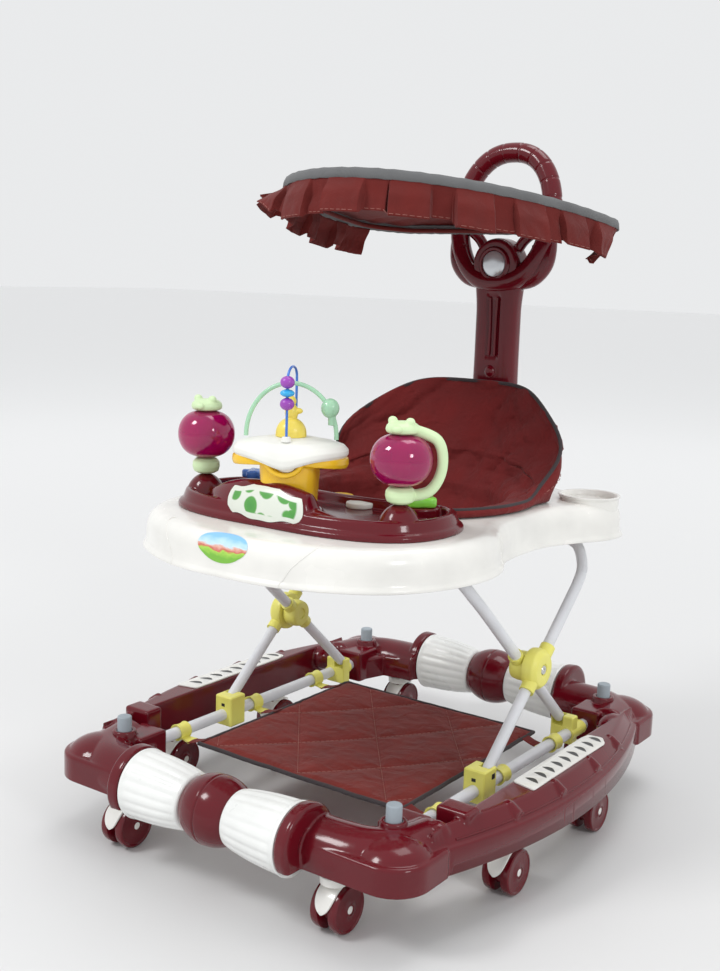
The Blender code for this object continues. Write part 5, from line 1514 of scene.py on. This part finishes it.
def tower_toys():
    """The clear green arch with its bead, and the blue wire with three beads, both on top of the tower."""
    arch = [tower_point(0.055 * math.cos(a), 0.0, 0.531 + 0.064 * math.sin(a))
            for a in np.linspace(-0.02, math.pi + 0.02, 56)]
    piece("tower_arch", sweep(arch, 0.0027, 18), "clear_green_plastic", "tray", ["rattle_arch"])
    bead = ellipsoid(tower_point(0.0465, 0.0, 0.567), (0.0110, 0.0110, 0.0118), 40)
    collar = lathe([(0.0, -0.014), (0.0045, -0.013), (0.0050, 0.013), (0.0, 0.014)],
                   tower_point(0.0490, 0.0, 0.560), "Z", 24)
    piece("tower_arch_bead", joined(bead, collar), "clear_green_plastic", "tray", sharp=30)
    wire = [tower_point(0, -0.028, z) for z in (0.5290, 0.5311, 0.560, 0.590)]
    wire += [tower_point(0, -0.028 * math.cos(a), 0.600 + 0.0145 * math.sin(a)) for a in np.linspace(0, math.pi, 30)]
    wire += [tower_point(0, 0.028, z) for z in (0.590, 0.560, 0.5311, 0.5290)]
    piece("bead_wire", sweep(wire, 0.0016, 14), "blue_plastic", "tray", ["bead_loop"])
    socket = [(0.0016, 0.0), (0.0062, 0.0), (0.0052, 0.0052), (0.0040, 0.0062), (0.0016, 0.0062)]
    feet = [lathe(socket, tower_point(0, y, 0.5280), steps=28, loop=True) for y in (-0.028, 0.028)]
    piece("wire_sockets", joined(*feet), "icing_plastic", "tray", sharp=30)
    low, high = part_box("bead_stack")
    middle = (low.z + high.z) / 2 + 0.0045
    for number, look, flat in ((-1, "purple_plastic", 1.0), (0, "cyan_plastic", 0.62), (1, "purple_plastic", 1.0)):
        ball = [(0.0024, -0.0072 * flat)]
        ball += [(0.0086 * math.cos(a), 0.0074 * flat * math.sin(a)) for a in np.radians(np.linspace(-74, 74, 19))]
        ball.append((0.0024, 0.0072 * flat))
        shape = lathe(ball, tower_point(0, -0.028, middle + number * 0.0128), steps=40, loop=True)
        piece(f"bead_{number + 2}", shape, look, "beads", ["bead_stack"] if number == 0 else (), sharp=60)


def small_toys():
    """Yellow dome with a small bird on it, clicker with its flower, spinner, and two flat discs on the bed."""
    top = 0.5311
    dome = [(0.0, 0.0002), (0.0187, 0.0002), (0.0184, 0.0040)]
    dome += [(0.0184 * math.cos(a), 0.0040 + 0.0190 * math.sin(a)) for a in np.radians(np.linspace(4, 84, 14))]
    dome.append((0.0, 0.0232))
    bird = [lathe(dome, (0, TOWER_Y, top)),
            ellipsoid((0, TOWER_Y, top + 0.0290), (0.0082, 0.0082, 0.0105), 28),
            ellipsoid((0, TOWER_Y, top + 0.0420), (0.0056, 0.0056, 0.0066), 24),
            ellipsoid(tower_point(-0.0070, 0.0, top + 0.0415), (0.0046, 0.0026, 0.0022), 20),
            ellipsoid(tower_point(0.0085, 0.0, top + 0.0310), (0.0060, 0.0040, 0.0036), 20)]
    piece("knob", fused(joined(*bird), 0.0007, 2, 0.6), "butter_plastic", "tray", ["finger_knob"], sharp=None)
    deck = 0.4508
    x, y = CLICKER_AT
    shape = star_prism((x, y), deck + 0.0003, deck + 0.0125, 0.0225, 0.0060, 4)
    piece("clicker", shape, "lime_plastic", "tray", ["clicker_base"])
    petals = [ellipsoid((x + 0.0082 * math.cos(a), y + 0.0082 * math.sin(a), deck + 0.0158),
                        (0.0066, 0.0066, 0.0036), 24) for a in np.linspace(0, 2 * math.pi, 5, endpoint=False)]
    petals.append(ellipsoid((x, y, deck + 0.0165), (0.0056, 0.0056, 0.0036), 24))
    piece("flower", fused(joined(*petals), 0.0007, 2, 0.6), "red_plastic", "flower", ["clicker_flower"], sharp=None)
    x, y = SPINNER_AT
    shape = star_prism((x, y), deck + 0.0030, deck + 0.0140, 0.0205, 0.0065, 6)
    pin = lathe([(0.0, 0.0), (0.0034, 0.0), (0.0034, 0.0140), (0.0020, 0.0146), (0.0, 0.0147)], (x, y, deck), steps=24)
    piece("spinner", joined(shape, pin), "blue_plastic", "spinner", ["blue_spinner"])
    bed = 0.4383
    profile = rounded([(0.0, bed), (0.0175, bed), (0.0175, bed + 0.0068), (0.0, bed + 0.0080)], 0.002)
    for name, x, y, look in (("yellow_disc", -0.008, -0.091, "yellow_plastic"),
                             ("white_disc", 0.041, -0.116, "icing_plastic")):
        piece(name, lathe(profile, (x, y, 0), steps=56), look, "tray", sharp=50)


# Light and floor ---------------------------------------------------------------------------------
def studio():
    """A pale floor with painted shade, darker round the walker and paler further away, a plain sky and three soft
    lamps.
    """
    shape = bmesh.new()
    bmesh.ops.create_grid(shape, x_segments=1, y_segments=1, size=30.0)
    floor = linked("floor", mesh_of("floor", shape))
    look, body = new_look("floor_paint")
    place = node(look, "ShaderNodeNewGeometry").outputs["Position"]
    away = node(look, "ShaderNodeVectorMath", {0: place}, operation="LENGTH").outputs["Value"]
    # Painted shade: the floor's colour is darker near the middle, where the walker stands, and paler further out.
    painted_floor_shade = node(look, "ShaderNodeMapRange", {
        "Value": away, "From Min": 0.5, "From Max": 4.5, "To Min": 0.70, "To Max": 0.93,
    }, interpolation_type="SMOOTHSTEP").outputs["Result"]
    set_inputs(body, {"Base Color": painted_floor_shade, "Roughness": 0.55})
    floor.data.materials.append(look)
    scene = bpy.context.scene
    scene.world = bpy.data.worlds.new("sky")
    scene.world.use_nodes = True
    set_inputs(scene.world.node_tree.nodes["Background"], {"Color": (0.93, 0.94, 0.95, 1), "Strength": 0.88})
    scene.view_settings.view_transform = "Standard"
    for name, place, aim_z, size, power in (
        ("key", (-1.5, -2.4, 3.2), 0.3, 1.0, 52.0),
        ("side", (3.4, -1.2, 2.0), 0.4, 0.7, 22.0),
        ("top", (0.2, 1.2, 4.2), 0.4, 2.0, 40.0),
    ):
        lamp = bpy.data.lights.new(name, "AREA")
        lamp.size = size
        lamp.energy = power
        thing = linked(name, lamp)
        thing.location = place
        thing.rotation_euler = (Vector((0, 0, aim_z)) - Vector(place)).to_track_quat("-Z", "Y").to_euler()


photo_camera()
studio()
side_mouldings()
ledge_lines()
grip_strips()
rollers()
stoppers()
side_tubes()
mat_clips()
for side_tag, side_sign in SIDES:
    foot_block(f"{side_tag}_slider", "sliders", side_sign, True)
    foot_block(f"{side_tag}_rear_foot", "base", side_sign, False)
leg_tube("leg_frame_fixed", "fixed_legs", FIXED_LEG_X, -1)
leg_tube("leg_frame_sliding", "sliding_legs", SLIDING_LEG_X, 1)
hubs()
casters()
foot_mat()
tray()
front_sticker()
tray_seam()
play_board()
board_sticker()
push_handle()
ring_grip()
handle_details()
seat()
canopy_top()
canopy_binding()
canopy_wire()
valance()
ball_toys()
tower()
tower_toys()
small_toys()
